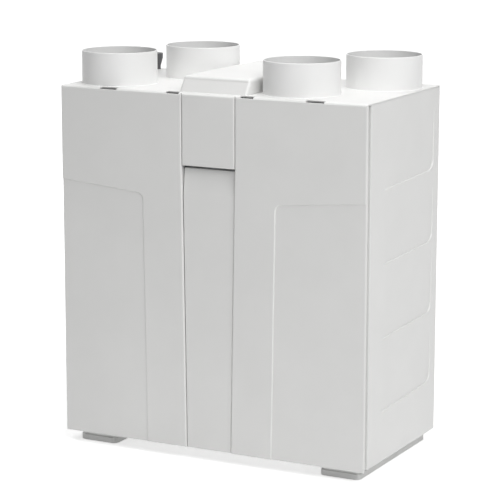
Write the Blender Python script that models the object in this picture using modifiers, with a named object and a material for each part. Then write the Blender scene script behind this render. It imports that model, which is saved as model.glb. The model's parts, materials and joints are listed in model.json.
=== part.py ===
"""A heat recovery ventilation unit as an assembly of separate pieces.

Units are metres. +X is to the right, -Y is the front and +Z is up. The origin is on the floor,
under the middle of the cabinet.
"""

import math

import bmesh
import bpy
from mathutils import Matrix, Vector

# Cabinet
CABINET_WIDTH = 0.700
CABINET_DEPTH = 0.370
FRONT_HEIGHT = 0.744
SEAT_GAP = 0.0003
FOOT_HEIGHT = 0.0267
FRONT_DROP = 0.003

# Foot rails
FOOT_WIDTH = 0.090
FOOT_INSET = 0.020
FOOT_FRONT_SETBACK = 0.025
FOOT_REAR_SETBACK = 0.010
FOOT_CORNER_RADIUS = 0.012

# Sheet and shell walls
BASE_SHEET = 0.002
REAR_SHEET = 0.0024
INNER_SHEET = 0.0015
TOP_SHEET = 0.003
TOP_CORNER_RADIUS = 0.006
SIDE_WALL = 0.005
SIDE_FLANGE = 0.022
SIDE_FRONT_RADIUS = 0.015
SIDE_REAR_RADIUS = 0.006
SIDE_ARC_STEPS = 5
LINER = 0.0224
BASE_LINER = 0.0124

# Slanted recesses in the side panels
FACET_COUNT = 4
FACET_LOWEST = 0.139
FACET_TOP_MARGIN = 0.032
FACET_GAP = 0.014
FACET_FRONT = 0.080
FACET_REAR_MARGIN = 0.033
FACET_DEPTH = 0.003
FACET_CORNER_RADIUS = 0.022
FACET_RUNOUT = 0.1

# Front panels
PANEL_WALL = 0.003
PANEL_RETURN = 0.006
SHADOW_GAP = 0.009
TOP_EDGE_RADIUS = 0.006
EDGE_RADIUS = 0.0035
PANEL_RECESS = 0.002
RECESS_INNER_TOP = 0.1525
RECESS_INNER_BOTTOM = 0.145
RECESS_DROP = 0.006
RECESS_RISE = 0.018
RECESS_CORNER_RADIUS = 0.014
RIM_INSET = 0.0012
RIB_THICKNESS = 0.004
RIB_OFFSET = 0.090
RIB_SIDE_MARGIN = 0.050
RIB_END_MARGIN = 0.010
HOOK_INNER_GAP = 0.004
HOOK_INNER_WIDTH = 0.033
HOOK_SIDE_MARGIN = 0.094
HOOK_OUTER_WIDTH = 0.040
HOOK_OVERLAP = 0.006
HOOK_THICKNESS = 0.003
HOOK_NOTCH_DEPTH = 0.0015
SKIRT = 0.002
SKIRT_HEIGHT = 0.020

# Filter cover and the panel above it
STRIP_HALF_TOP = 0.061
STRIP_HALF_BEND = 0.060
STRIP_HALF_BOTTOM = 0.052
STRIP_CLEARANCE = 0.001
UPPER_PANEL_HEIGHT = 0.149
GRIP_GAP = 0.005
GRIP_HEIGHT = 0.054
COVER_WALL = 0.0025
COVER_FLANGE = 0.018
COVER_FLANGE_BOTTOM = 0.009
COVER_RECESS_BOTTOM = 0.0035
COVER_RECESS_BEND = 0.008
COVER_RECESS_TOP = 0.020
INNER_PLATE_SETBACK = 0.027

# Cover hinge and catch
PIN_RADIUS = 0.0015
PIN_HEAD_RADIUS = 0.0022
PIN_HEAD = 0.0015
PIN_CLEARANCE = 0.0003
PIN_STEPS = 12
PIN_HEIGHT = 0.010
PIN_WALL_GAP = 0.0003
EAR_OFFSET = 0.040
EAR_THICKNESS = 0.002
EAR_RADIUS = 0.0034
EAR_CLEARANCE = 0.0003
CATCH_HALF_WIDTH = 0.012
CATCH_DROP = 0.008
CATCH_HEIGHT = 0.010

# Spigots
SPIGOT_RADIUS = 0.079
SPIGOT_WALL = 0.0025
SPIGOT_HEIGHT = 0.069
SPIGOT_TAIL = 0.0053
SPIGOT_LIP = 0.003
SPIGOT_LIP_THICKNESS = 0.003
SPIGOT_SIDE_MARGIN = 0.009
INNER_SPIGOT_OFFSET = 0.160
OUTER_SPIGOT_EDGE = 0.014
INNER_SPIGOT_EDGE = 0.020
ROUND_STEPS = 32

# Raised housing on the top, and the cable gland
HOUSING_SPIGOT_GAP = 0.004
HOUSING_HEIGHT = 0.031
HOUSING_LEAN = 0.009
HOUSING_FRONT_SETBACK = 0.016
HOUSING_REAR_SETBACK = 0.012
HOUSING_WALL = 0.0025
HOUSING_EDGE_RADIUS = 0.006
CABLE_HOLE = 0.060
GLAND_SIDE_MARGIN = 0.032
GLAND_REAR_MARGIN = 0.021
GLAND_HEIGHT = 0.036
GLAND_CUP_RADIUS = 0.013
GLAND_CUP_HEIGHT = 0.011
GLAND_CUP_TAPER = 0.0006
GLAND_SHOULDER_RADIUS = 0.0078
GLAND_SHOULDER_HEIGHT = 0.009
GLAND_NECK_RADIUS = 0.006
GLAND_BORE = 0.004
GLAND_STEPS = 16

# Duct blocks and electronics box
DUCT_BLOCK_HEIGHT = 0.0595
BOX_HALF_WIDTH = 0.055
BOX_WALL = 0.002
BOX_DROP = 0.004
INLET_END_MARGIN = 0.0022
BOARD_SHEET = 0.0016
BOARD_SIDE_MARGIN = 0.007
BOARD_END_MARGIN = 0.0262
STANDOFF_HEIGHT = 0.004
STANDOFF_RADIUS = 0.004
STANDOFF_INSET = 0.008
STANDOFF_STEPS = 10
TRANSFORMER = (0.039, 0.044, 0.038)
TRANSFORMER_PLACE = (-0.015, -0.069)
RELAY = (0.028, 0.018, 0.020)
RELAY_PLACES = ((-0.018, -0.017), (-0.018, 0.012))
TERMINAL_STRIP = (0.074, 0.018, 0.016)
TERMINAL_PLACE = (0.0, 0.061)
CHIP = (0.023, 0.029, 0.005)
CHIP_PLACE = (0.014, 0.001)
CAPACITOR_RADIUS = 0.0083
CAPACITOR_HEIGHT = 0.028
CAPACITOR_PLACES = ((0.025, -0.081), (0.025, -0.057))
CAPACITOR_STEPS = 16

# Heat exchanger
EXCHANGER_HALF_WIDTH = 0.180
EXCHANGER_SIDE = 0.130
EXCHANGER_RISE = 0.100
EXCHANGER_FRAME = 0.006
EXCHANGER_FRAME_RIM = 0.014
PLATE_COUNT = 22
PLATE_FILL = 0.35
PLATE_INSET = 0.012
PLATE_SIDE_INSET = 0.002

# Condensate tray and drain
TRAY_HALF_WIDTH = 0.160
TRAY_WALL = 0.003
TRAY_RIM = 0.033
TRAY_RIB = 0.016
TRAY_RIB_HEIGHT = 0.0297
DRAIN_OFFSET = 0.080
DRAIN_RADIUS = 0.016
DRAIN_WALL = 0.0025
DRAIN_FLOOR_CLEARANCE = 0.008
DRAIN_FLANGE = 0.005
DRAIN_STEPS = 16

# Chambers and filters
CHAMBER_SHEET = 0.002
CHAMBER_WALL_LAP = 0.008
PLENUM_GAP = 0.0184
FLOOR_DROP = 0.066
FLOOR_LIP = 0.004
FILTER_THICKNESS = 0.024
FILTER_STRIP_MARGIN = 0.002
FILTER_RIM = 0.010
FILTER_RUN_CLEARANCE = 0.0005
FILTER_LEDGE_MARGIN = 0.0015
FILTER_CAP = 0.002
FILTER_CAP_MARGIN = 0.0015
TAB_DEPTH = 0.008
TAB_HALF_WIDTH = 0.006
TAB_HALF_HEIGHT = 0.011
PLEAT_COUNT = 18
PLEAT_SHEET = 0.0012

# Fans
FAN_DEPTH = 0.090
FAN_WALL = 0.0025
FAN_AXIS_OFFSET = 0.005
FAN_AXIS_DROP = 0.1327
SCROLL_CLEARANCE = 0.012
SCROLL_END_CLEARANCE = 0.0112
TONGUE_OFFSET = 0.0335
SCROLL_POINTS = 22
FAN_STEPS = 24
INLET_RUNNING_GAP = 0.0025
INLET_WALL = 0.002
INLET_REACH = 0.009
INLET_FLANGE = 0.012
INLET_LIP = 0.004
INLET_OUTER_BEND = 0.003
INLET_INNER_BEND = 0.00225
WHEEL_RADIUS = 0.085
WHEEL_INNER_RADIUS = 0.040
WHEEL_EYE_RADIUS = 0.060
WHEEL_WIDTH = 0.030
WHEEL_SHEET = 0.0025
WHEEL_FRONT_CLEARANCE = 0.0110
BLADE_COUNT = 11
BLADE_SWEEP = math.radians(42)
BLADE_THICKNESS = 0.002
BLADE_POINTS = 5
BLADE_ROOT = 0.001
MOTOR_RADIUS = 0.034
MOTOR_LENGTH = 0.030
MOTOR_FLANGE_RADIUS = 0.044
MOTOR_FLANGE = 0.003
SHAFT_RADIUS = 0.004
SHAFT_CLEARANCE = 0.0003
BOSS_RADIUS = 0.011
BOSS_REACH = 0.008

# Bypass flap
FLAP_END_CLEARANCE = 0.0012
FLAP_HEIGHT = 0.041
FLAP_SHEET = 0.002
FLAP_STANDOFF = 0.003
FLAP_WINDOW_MARGIN = 0.003
FLAP_SHAFT_RADIUS = 0.0025
FLAP_SHAFT_CLEARANCE = 0.0003
BEARING_GAP = 0.007
BEARING_SIZE = 0.010
BEARING_MARGIN = 0.007
ACTUATOR_LENGTH = 0.030
ACTUATOR_WIDTH = 0.034
ACTUATOR_HEIGHT = 0.038
ACTUATOR_DROP = 0.0127

# Mesh steps and allowances
ARC_STEPS = 4
BEVEL_STEPS = 3
SHARP_ANGLE = math.radians(40)
WELD = 0.00001
FLAT_ANGLE = math.radians(0.1)
OVERSHOOT = 0.005
JOIN_DEPTH = 0.0015

# Levels and faces that follow from the sizes above
SIDE = CABINET_WIDTH / 2
FRONT = -CABINET_DEPTH / 2
REAR = CABINET_DEPTH / 2
BASE_Z = FOOT_HEIGHT + SEAT_GAP
FRONT_Z = BASE_Z - FRONT_DROP
TOP_Z = FRONT_Z + FRONT_HEIGHT
UNDER_TOP = TOP_Z - TOP_SHEET
UPPER_PANEL_BOTTOM = FRONT_HEIGHT - UPPER_PANEL_HEIGHT
STRIP_TOP = UPPER_PANEL_BOTTOM - GRIP_GAP
STRIP_BEND = STRIP_TOP - GRIP_HEIGHT
RECESS_TOP = STRIP_BEND - RECESS_DROP
INSIDE = SIDE - SIDE_WALL - SEAT_GAP
SIDE_FRONT = FRONT + PANEL_RETURN + SHADOW_GAP
PANEL_BACK = FRONT + PANEL_WALL
RETURN_BACK = FRONT + PANEL_RETURN
PLATE_FRONT = FRONT + INNER_PLATE_SETBACK
PLATE_BACK = PLATE_FRONT + INNER_SHEET
INNER_DEPTH = -PLATE_BACK - SEAT_GAP
REAR_PANEL_BACK = REAR - SIDE_WALL - SEAT_GAP
REAR_PANEL_FRONT = REAR_PANEL_BACK - REAR_SHEET
BASE_TOP = BASE_Z + BASE_SHEET
LINER_BASE_TOP = BASE_TOP + SEAT_GAP + BASE_LINER
SPIGOT_BOTTOM = UNDER_TOP - SPIGOT_TAIL
DUCT_TOP = SPIGOT_BOTTOM - SEAT_GAP
DUCT_BOTTOM = DUCT_TOP - DUCT_BLOCK_HEIGHT
CHAMBER_TOP = DUCT_BOTTOM - SEAT_GAP
LINER_FACE = INSIDE - LINER
OUTER_SPIGOT = (SIDE - SPIGOT_SIDE_MARGIN - SPIGOT_RADIUS, REAR - OUTER_SPIGOT_EDGE - SPIGOT_RADIUS)
INNER_SPIGOT = (INNER_SPIGOT_OFFSET, REAR - INNER_SPIGOT_EDGE - SPIGOT_RADIUS)
HOUSING_HALF_WIDTH = INNER_SPIGOT_OFFSET - SPIGOT_RADIUS - HOUSING_SPIGOT_GAP
GLAND_PLACE = (GLAND_SIDE_MARGIN - SIDE, REAR - GLAND_REAR_MARGIN)
FACET_PITCH = (UNDER_TOP - FACET_TOP_MARGIN - FACET_LOWEST + FACET_GAP) / FACET_COUNT
FACET_HEIGHT = FACET_PITCH - FACET_GAP
BOX_BOTTOM = FRONT_Z + UPPER_PANEL_BOTTOM - BOX_DROP
TRAY_Z = LINER_BASE_TOP + SEAT_GAP
EXCHANGER_BOTTOM = TRAY_Z + TRAY_RIB_HEIGHT + SEAT_GAP
EXCHANGER_TOP = EXCHANGER_BOTTOM + EXCHANGER_SIDE + 2 * EXCHANGER_RISE
EXCHANGER_MIDDLE = (EXCHANGER_BOTTOM + EXCHANGER_TOP) / 2
FLOOR_TOP = EXCHANGER_TOP + PLENUM_GAP
FILTER_BOTTOM = FLOOR_TOP + SEAT_GAP
FILTER_TOP = BOX_BOTTOM - SEAT_GAP
WALL_INNER = EXCHANGER_HALF_WIDTH + SEAT_GAP
WALL_OUTER = WALL_INNER + CHAMBER_SHEET
FAN_OUTER = LINER_FACE - SEAT_GAP
FAN_INNER = FAN_OUTER - FAN_DEPTH
FAN_Z = CHAMBER_TOP - FAN_AXIS_DROP
SCROLL_START_RADIUS = WHEEL_RADIUS + SCROLL_CLEARANCE
SCROLL_END_RADIUS = INNER_DEPTH - FAN_AXIS_OFFSET - SCROLL_END_CLEARANCE
INLET_RADIUS = WHEEL_EYE_RADIUS - INLET_RUNNING_GAP - INLET_WALL
FLAP_HALF_LENGTH = INNER_DEPTH - ACTUATOR_LENGTH - BEARING_GAP - FLAP_END_CLEARANCE

AXES = {
    "X": Matrix(((0, 0, 1, 0), (1, 0, 0, 0), (0, 1, 0, 0), (0, 0, 0, 1))),
    "Y": Matrix(((1, 0, 0, 0), (0, 0, -1, 0), (0, 1, 0, 0), (0, 0, 0, 1))),
    "Z": Matrix.Identity(4),
}
HALF_TURN = Matrix.Rotation(math.pi, 4, "Z")

for leftover in list(bpy.data.objects):
    bpy.data.objects.remove(leftover, do_unlink=True)

unit = bpy.data.collections.new("heat_recovery_unit")
cutters = bpy.data.collections.new("cutters")
for collection in (unit, cutters):
    bpy.context.scene.collection.children.link(collection)


def finish(name, colour, roughness, metallic=0.0):
    """A Principled material of one colour."""
    material = bpy.data.materials.new(name)
    material.use_nodes = True
    shader = material.node_tree.nodes["Principled BSDF"]
    shader.inputs["Base Color"].default_value = (*colour, 1.0)
    shader.inputs["Roughness"].default_value = roughness
    shader.inputs["Metallic"].default_value = metallic
    return material


WHITE_PANEL = finish("white_panel", (0.80, 0.80, 0.79), 0.45)
WHITE_PLASTIC = finish("white_plastic", (0.86, 0.86, 0.85), 0.40)
GREY_PLASTIC = finish("grey_plastic", (0.16, 0.16, 0.17), 0.50)
FOOT_PLASTIC = finish("foot_plastic", (0.60, 0.60, 0.59), 0.55)
ZINC_SHEET = finish("zinc_sheet", (0.62, 0.64, 0.65), 0.35, 0.9)
STEEL = finish("steel", (0.55, 0.55, 0.56), 0.30, 1.0)
FOAM = finish("foam", (0.12, 0.12, 0.13), 0.90)
RUBBER = finish("rubber", (0.05, 0.05, 0.05), 0.80)
FILTER_CARD = finish("filter_card", (0.70, 0.68, 0.62), 0.80)
FILTER_FLEECE = finish("filter_fleece", (0.85, 0.86, 0.84), 0.95)
EXCHANGER_PLASTIC = finish("exchanger_plastic", (0.75, 0.78, 0.80), 0.35)
FAN_PLASTIC = finish("fan_plastic", (0.08, 0.08, 0.09), 0.45)
BOARD_GREEN = finish("board_green", (0.05, 0.22, 0.12), 0.50)

reference = bpy.data.objects.new("unit_reference", None)
unit.objects.link(reference)


def add(name, mesh, material):
    """Links a mesh as a piece of the unit."""
    piece = bpy.data.objects.new(name, mesh)
    piece.data.materials.append(material)
    piece.parent = reference
    unit.objects.link(piece)
    return piece


def evaluated_mesh(piece):
    """A new mesh of the piece with its modifiers applied, in its own space."""
    bpy.context.view_layer.update()
    graph = bpy.context.evaluated_depsgraph_get()
    return bpy.data.meshes.new_from_object(piece.evaluated_get(graph))


def mesh_of(shape, name):
    """Turns an edit mesh into a mesh with its faces pointing out."""
    shape.normal_update()
    bmesh.ops.recalc_face_normals(shape, faces=shape.faces)
    mesh = bpy.data.meshes.new(name)
    shape.to_mesh(mesh)
    shape.free()
    return mesh


def block(low, high):
    """A box between two corners."""
    low = Vector(low)
    high = Vector(high)
    shape = bmesh.new()
    place = Matrix.Translation((low + high) / 2) @ Matrix.Diagonal((*(high - low), 1.0))
    bmesh.ops.create_cube(shape, size=1.0, matrix=place)
    return mesh_of(shape, "block")


def extruded(loops, along, low, high):
    """Closed outlines, the later ones holes, filled and extruded along an axis from low to high."""
    curve = bpy.data.curves.new("outline", "CURVE")
    curve.dimensions = "2D"
    curve.fill_mode = "BOTH"
    curve.extrude = (high - low) / 2
    for loop in loops:
        spline = curve.splines.new("POLY")
        spline.points.add(len(loop) - 1)
        for point, (u, v) in zip(spline.points, loop):
            point.co = (u, v, 0.0, 1.0)
        spline.use_cyclic_u = True
    guide = bpy.data.objects.new("outline", curve)
    cutters.objects.link(guide)
    mesh = evaluated_mesh(guide)
    bpy.data.objects.remove(guide)
    shape = bmesh.new()
    shape.from_mesh(mesh)
    bmesh.ops.remove_doubles(shape, verts=shape.verts, dist=WELD)
    if len(loops) == 1:
        bmesh.ops.dissolve_limit(shape, angle_limit=FLAT_ANGLE, verts=shape.verts, edges=shape.edges)
    middle = (AXES[along] @ Vector((0.0, 0.0, 1.0))).normalized()
    shift = Vector(abs(part) for part in middle) * (low + high) / 2
    shape.transform(Matrix.Translation(shift) @ AXES[along])
    return mesh_of(shape, "extruded")


def turned(profile, steps, along="Z", centre=(0.0, 0.0, 0.0)):
    """A profile of (radius, height) points turned about an axis; it is open where it starts on the axis."""
    line = bmesh.new()
    points = [line.verts.new((radius, 0.0, height)) for radius, height in profile]
    ends = points[1:] + points[:1]
    if profile[0][0] == 0.0:
        ends = points[1:]
    for start, end in zip(points, ends):
        line.edges.new((start, end))
    mesh = bpy.data.meshes.new("profile")
    line.to_mesh(mesh)
    line.free()
    guide = bpy.data.objects.new("profile", mesh)
    cutters.objects.link(guide)
    screw = guide.modifiers.new("turn", "SCREW")
    screw.steps = steps
    screw.render_steps = steps
    screw.use_merge_vertices = True
    screw.merge_threshold = WELD
    mesh = evaluated_mesh(guide)
    bpy.data.objects.remove(guide)
    shape = bmesh.new()
    shape.from_mesh(mesh)
    bmesh.ops.remove_doubles(shape, verts=shape.verts, dist=WELD)
    shape.transform(Matrix.Translation(centre) @ AXES[along])
    mesh = mesh_of(shape, "turned")
    mesh.shade_smooth()
    mesh.set_sharp_from_angle(angle=SHARP_ANGLE)
    return mesh


def rod(radius, along, low, high, centre, steps):
    """A solid cylinder along an axis, with its middle line through the centre."""
    return turned([(0.0, high), (radius, high), (radius, low), (0.0, low)], steps, along, centre)


def loft(sections):
    """A closed skin through sections of equal counts of points."""
    shape = bmesh.new()
    rows = [[shape.verts.new(point) for point in section] for section in sections]
    for row, after in zip(rows, rows[1:]):
        for i in range(len(row)):
            j = (i + 1) % len(row)
            shape.faces.new((row[i], row[j], after[j], after[i]))
    shape.faces.new(rows[0])
    shape.faces.new(rows[-1])
    bent = [face for face in shape.faces if len(face.verts) == 4]
    bmesh.ops.connect_verts_nonplanar(shape, angle_limit=FLAT_ANGLE, faces=bent)
    return mesh_of(shape, "loft")


def hull(points):
    """The convex solid round some points."""
    shape = bmesh.new()
    for point in points:
        shape.verts.new(point)
    bmesh.ops.convex_hull(shape, input=shape.verts)
    return mesh_of(shape, "hull")


def rectangle(low_u, high_u, low_v, high_v):
    return [(low_u, low_v), (high_u, low_v), (high_u, high_v), (low_u, high_v)]


def circle(centre, radius, steps=ROUND_STEPS):
    turns = [2 * math.pi * i / steps for i in range(steps)]
    return [(centre[0] + radius * math.cos(a), centre[1] + radius * math.sin(a)) for a in turns]


def rounded(corners, steps=ARC_STEPS):
    """A closed outline from (u, v, radius) corners, each rounded by an arc of its radius."""
    outline = []
    for i, (u, v, radius) in enumerate(corners):
        corner = Vector((u, v))
        if radius == 0.0:
            outline.append((u, v))
            continue
        before = (Vector(corners[i - 1][:2]) - corner).normalized()
        after = (Vector(corners[(i + 1) % len(corners)][:2]) - corner).normalized()
        half = before.angle(after) / 2
        centre = corner + (before + after).normalized() * radius / math.sin(half)
        start = corner + before * radius / math.tan(half) - centre
        turn = start.angle_signed(corner + after * radius / math.tan(half) - centre)
        for step in range(steps + 1):
            spoke = Matrix.Rotation(-turn * step / steps, 2) @ start
            outline.append(tuple(centre + spoke))
    return outline


def combine(piece, mesh, operation):
    """Cuts a mesh from the piece, or joins it to the piece."""
    tool = bpy.data.objects.new(f"{piece.name}_{operation.lower()}", mesh)
    tool.hide_render = True
    tool.display_type = "WIRE"
    cutters.objects.link(tool)
    boolean = piece.modifiers.new(operation.lower(), "BOOLEAN")
    boolean.operation = operation
    boolean.solver = "EXACT"
    boolean.object = tool


def cut(piece, mesh):
    combine(piece, mesh, "DIFFERENCE")


def join(piece, mesh):
    combine(piece, mesh, "UNION")


def mirrored(piece, name):
    """The piece's mirror image across the middle of the cabinet."""
    mesh = evaluated_mesh(piece)
    mesh.transform(Matrix.Scale(-1.0, 4, (1.0, 0.0, 0.0)))
    mesh.flip_normals()
    copy = bpy.data.objects.new(name, mesh)
    copy.parent = reference
    unit.objects.link(copy)
    return copy


def turned_round(piece, name):
    """A copy of the piece turned half round about the cabinet's upright middle line."""
    copy = bpy.data.objects.new(name, evaluated_mesh(piece))
    copy.matrix_world = HALF_TURN @ piece.matrix_world
    copy.parent = reference
    unit.objects.link(copy)
    return copy


def set_origin(piece, point):
    """Moves the piece's origin to a point and leaves its shape where it is."""
    piece.data.transform(Matrix.Translation(-Vector(point)))
    piece.location = point


def strip_half(height):
    """Half the width of the opening for the filter cover, at a height above the front's bottom edge."""
    if height >= STRIP_BEND:
        share = (height - STRIP_BEND) / (UPPER_PANEL_BOTTOM - STRIP_BEND)
        return STRIP_HALF_BEND + (STRIP_HALF_TOP - STRIP_HALF_BEND) * min(share, 1.0)
    return STRIP_HALF_BOTTOM + (STRIP_HALF_BEND - STRIP_HALF_BOTTOM) * height / STRIP_BEND


def cover_front(height):
    """How far the filter cover's face lies behind the front, at a height above the front's bottom edge."""
    if height >= STRIP_BEND:
        share = (height - STRIP_BEND) / (STRIP_TOP - STRIP_BEND)
        return FRONT + COVER_RECESS_BEND + (COVER_RECESS_TOP - COVER_RECESS_BEND) * share
    share = height / STRIP_BEND
    return FRONT + COVER_RECESS_BOTTOM + (COVER_RECESS_BEND - COVER_RECESS_BOTTOM) * share


def inside_half(depth):
    """Half the clear width between the side panels, less in their rounded front corners."""
    radius = SIDE_FRONT_RADIUS - SIDE_WALL
    drop = max(SIDE_FRONT + SIDE_FRONT_RADIUS - depth, 0.0)
    return INSIDE - radius + math.sqrt(radius**2 - drop**2)


def foot_rails():
    outer = SIDE - FOOT_INSET
    corners = [
        (outer - FOOT_WIDTH, FRONT + FOOT_FRONT_SETBACK, FOOT_CORNER_RADIUS),
        (outer, FRONT + FOOT_FRONT_SETBACK, FOOT_CORNER_RADIUS),
        (outer, REAR - FOOT_REAR_SETBACK, 0.0),
        (outer - FOOT_WIDTH, REAR - FOOT_REAR_SETBACK, 0.0),
    ]
    right = add("right_foot_rail", extruded([rounded(corners)], "Z", 0.0, FOOT_HEIGHT), FOOT_PLASTIC)
    mirrored(right, "left_foot_rail")


def base():
    drain = circle((DRAIN_OFFSET, 0.0), DRAIN_RADIUS + SEAT_GAP, DRAIN_STEPS)
    front = SIDE_FRONT + SIDE_WALL + SEAT_GAP
    corners = [
        (-INSIDE, front, SIDE_FRONT_RADIUS),
        (INSIDE, front, SIDE_FRONT_RADIUS),
        (INSIDE, REAR_PANEL_BACK, 0.0),
        (-INSIDE, REAR_PANEL_BACK, 0.0),
    ]
    sheet = rounded(corners)
    add("base_panel", extruded([sheet, drain], "Z", BASE_Z, BASE_TOP), WHITE_PANEL)
    wide_drain = circle((DRAIN_OFFSET, 0.0), DRAIN_RADIUS + DRAIN_FLANGE + 2 * SEAT_GAP, DRAIN_STEPS)
    half = inside_half(-INNER_DEPTH)
    foam = rectangle(-half, half, -INNER_DEPTH, REAR_PANEL_FRONT - SEAT_GAP)
    add("base_liner", extruded([foam, wide_drain], "Z", BASE_TOP + SEAT_GAP, LINER_BASE_TOP), FOAM)


def side_panels():
    """A shell with rounded returns, and slanted recesses stacked up its outer face."""
    tip = SIDE - SIDE_FLANGE
    inner = SIDE - SIDE_WALL
    corners = [
        (tip, SIDE_FRONT, 0.0),
        (SIDE, SIDE_FRONT, SIDE_FRONT_RADIUS),
        (SIDE, REAR, SIDE_REAR_RADIUS),
        (tip, REAR, 0.0),
        (tip, REAR - SIDE_WALL, 0.0),
        (inner, REAR - SIDE_WALL, 0.0),
        (inner, SIDE_FRONT + SIDE_WALL, SIDE_FRONT_RADIUS - SIDE_WALL),
        (tip, SIDE_FRONT + SIDE_WALL, 0.0),
    ]
    top = UNDER_TOP - SEAT_GAP
    outline = rounded(corners, SIDE_ARC_STEPS)
    right = add("right_side_panel", extruded([outline], "Z", BASE_Z, top), WHITE_PANEL)
    for i in range(FACET_COUNT):
        cut(right, facet_cutter(FACET_LOWEST + i * FACET_PITCH))
    mirrored(right, "left_side_panel")


def facet_cutter(bottom):
    """A wedge whose slanted face is deepest at its lower rear corner and fades out up and to the front."""
    front = FRONT + FACET_FRONT
    rear = REAR - FACET_REAR_MARGIN
    length = rear - front
    reach = 1.0 + FACET_RUNOUT
    corners = [
        (rear - length * reach, bottom, 0.0),
        (rear, bottom, FACET_CORNER_RADIUS),
        (rear, bottom + FACET_HEIGHT * reach, 0.0),
    ]
    points = []
    for y, z in rounded(corners, SIDE_ARC_STEPS):
        share = 1.0 - (rear - y) / length - (z - bottom) / FACET_HEIGHT
        points.append((SIDE - FACET_DEPTH * share, y, z))
        points.append((SIDE + OVERSHOOT, y, z))
    return hull(points)


def rear_panel():
    low = (-INSIDE, REAR_PANEL_FRONT, BASE_TOP + SEAT_GAP)
    add("rear_panel", block(low, (INSIDE, REAR_PANEL_BACK, UNDER_TOP - SEAT_GAP)), WHITE_PANEL)


def liners():
    top = CHAMBER_TOP
    low = (LINER_FACE, -INNER_DEPTH, LINER_BASE_TOP + SEAT_GAP)
    right = add("right_liner", block(low, (inside_half(-INNER_DEPTH), INNER_DEPTH, top)), FOAM)
    mirrored(right, "left_liner")
    rear_low = (-INSIDE, INNER_DEPTH + SEAT_GAP, LINER_BASE_TOP + SEAT_GAP)
    add("rear_liner", block(rear_low, (INSIDE, REAR_PANEL_FRONT - SEAT_GAP, top)), FOAM)


def spigot_places():
    """Names and centres of the four spigots; each pair is the other pair turned half round."""
    return {
        "front_left_spigot": (-OUTER_SPIGOT[0], -OUTER_SPIGOT[1]),
        "rear_left_spigot": (-INNER_SPIGOT[0], INNER_SPIGOT[1]),
        "front_right_spigot": (INNER_SPIGOT[0], -INNER_SPIGOT[1]),
        "rear_right_spigot": (OUTER_SPIGOT[0], OUTER_SPIGOT[1]),
    }


def hook_spans():
    """Where the top cover's hooks on the right reach through the front panel's rim, in X."""
    inner = STRIP_HALF_TOP + HOOK_INNER_GAP
    outer = SIDE - HOOK_SIDE_MARGIN
    return (inner, inner + HOOK_INNER_WIDTH), (outer - HOOK_OUTER_WIDTH, outer)


def top_cover():
    front = RETURN_BACK + SEAT_GAP
    corners = [
        (-SIDE, front, TOP_CORNER_RADIUS),
        (SIDE, front, TOP_CORNER_RADIUS),
        (SIDE, REAR, TOP_CORNER_RADIUS),
        (-SIDE, REAR, TOP_CORNER_RADIUS),
    ]
    loops = [rounded(corners)]
    for place in spigot_places().values():
        loops.append(circle(place, SPIGOT_RADIUS + SEAT_GAP))
    loops.append(circle(GLAND_PLACE, GLAND_NECK_RADIUS + SEAT_GAP, GLAND_STEPS))
    half_hole = CABLE_HOLE / 2
    loops.append(rectangle(-half_hole, half_hole, -half_hole, half_hole))
    cover = add("top_cover", extruded(loops, "Z", UNDER_TOP, TOP_Z), WHITE_PANEL)
    half = SIDE - SIDE_FLANGE - SEAT_GAP
    skirt_low = (-half, front, UNDER_TOP - SKIRT_HEIGHT)
    join(cover, block(skirt_low, (half, front + SKIRT, TOP_Z - TOP_SHEET / 2)))
    hook_top = TOP_Z - PANEL_WALL - SEAT_GAP
    for start, end in hook_spans():
        for side in (-1, 1):
            edges = sorted((side * start, side * (end + HOOK_OVERLAP)))
            low = (edges[0], PANEL_BACK + SEAT_GAP, hook_top - HOOK_THICKNESS)
            join(cover, block(low, (edges[1], front + SKIRT / 2, hook_top)))


def spigots():
    inner = SPIGOT_RADIUS - SPIGOT_WALL
    rim = TOP_Z + SPIGOT_HEIGHT
    lip_top = UNDER_TOP - SEAT_GAP
    profile = [
        (inner, rim),
        (SPIGOT_RADIUS, rim),
        (SPIGOT_RADIUS, lip_top),
        (SPIGOT_RADIUS + SPIGOT_LIP, lip_top),
        (SPIGOT_RADIUS + SPIGOT_LIP, lip_top - SPIGOT_LIP_THICKNESS),
        (SPIGOT_RADIUS, lip_top - SPIGOT_LIP_THICKNESS),
        (SPIGOT_RADIUS, SPIGOT_BOTTOM),
        (inner, SPIGOT_BOTTOM),
    ]
    tube = turned(profile, ROUND_STEPS)
    for name, (x, y) in spigot_places().items():
        piece = add(name, tube.copy(), WHITE_PLASTIC)
        piece.location = (x, y, 0.0)


def housing_form(inset, low, high):
    """The raised housing's form between two levels, less an inset all round; its front leans back."""
    half = HOUSING_HALF_WIDTH - inset
    rear = REAR - HOUSING_REAR_SETBACK - inset
    sections = []
    for level in (low, high):
        lean = HOUSING_LEAN * (level - TOP_Z) / HOUSING_HEIGHT
        front = FRONT + HOUSING_FRONT_SETBACK + inset + lean
        sections.append([(x, y, level) for x, y in rectangle(-half, half, front, rear)])
    return loft(sections)


def connection_housing():
    """The raised housing in the middle of the top, open below."""
    bottom = TOP_Z + SEAT_GAP
    top = TOP_Z + HOUSING_HEIGHT
    piece = add("connection_housing", housing_form(0.0, bottom, top), WHITE_PANEL)
    weigh_edges(piece, lambda a, b: 0.0 if max(a.z, b.z) < bottom + WELD else 1.0)
    round_edges(piece, HOUSING_EDGE_RADIUS)
    ceiling = top - HOUSING_WALL - HOUSING_EDGE_RADIUS
    cut(piece, housing_form(HOUSING_WALL, bottom - OVERSHOOT, ceiling))


def weigh_edges(piece, weight):
    """Gives each edge a bevel weight from its two end points."""
    shape = bmesh.new()
    shape.from_mesh(piece.data)
    layer = shape.edges.layers.float.new("bevel_weight_edge")
    for edge in shape.edges:
        edge[layer] = weight(edge.verts[0].co, edge.verts[1].co)
    shape.to_mesh(piece.data)
    shape.free()


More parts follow.
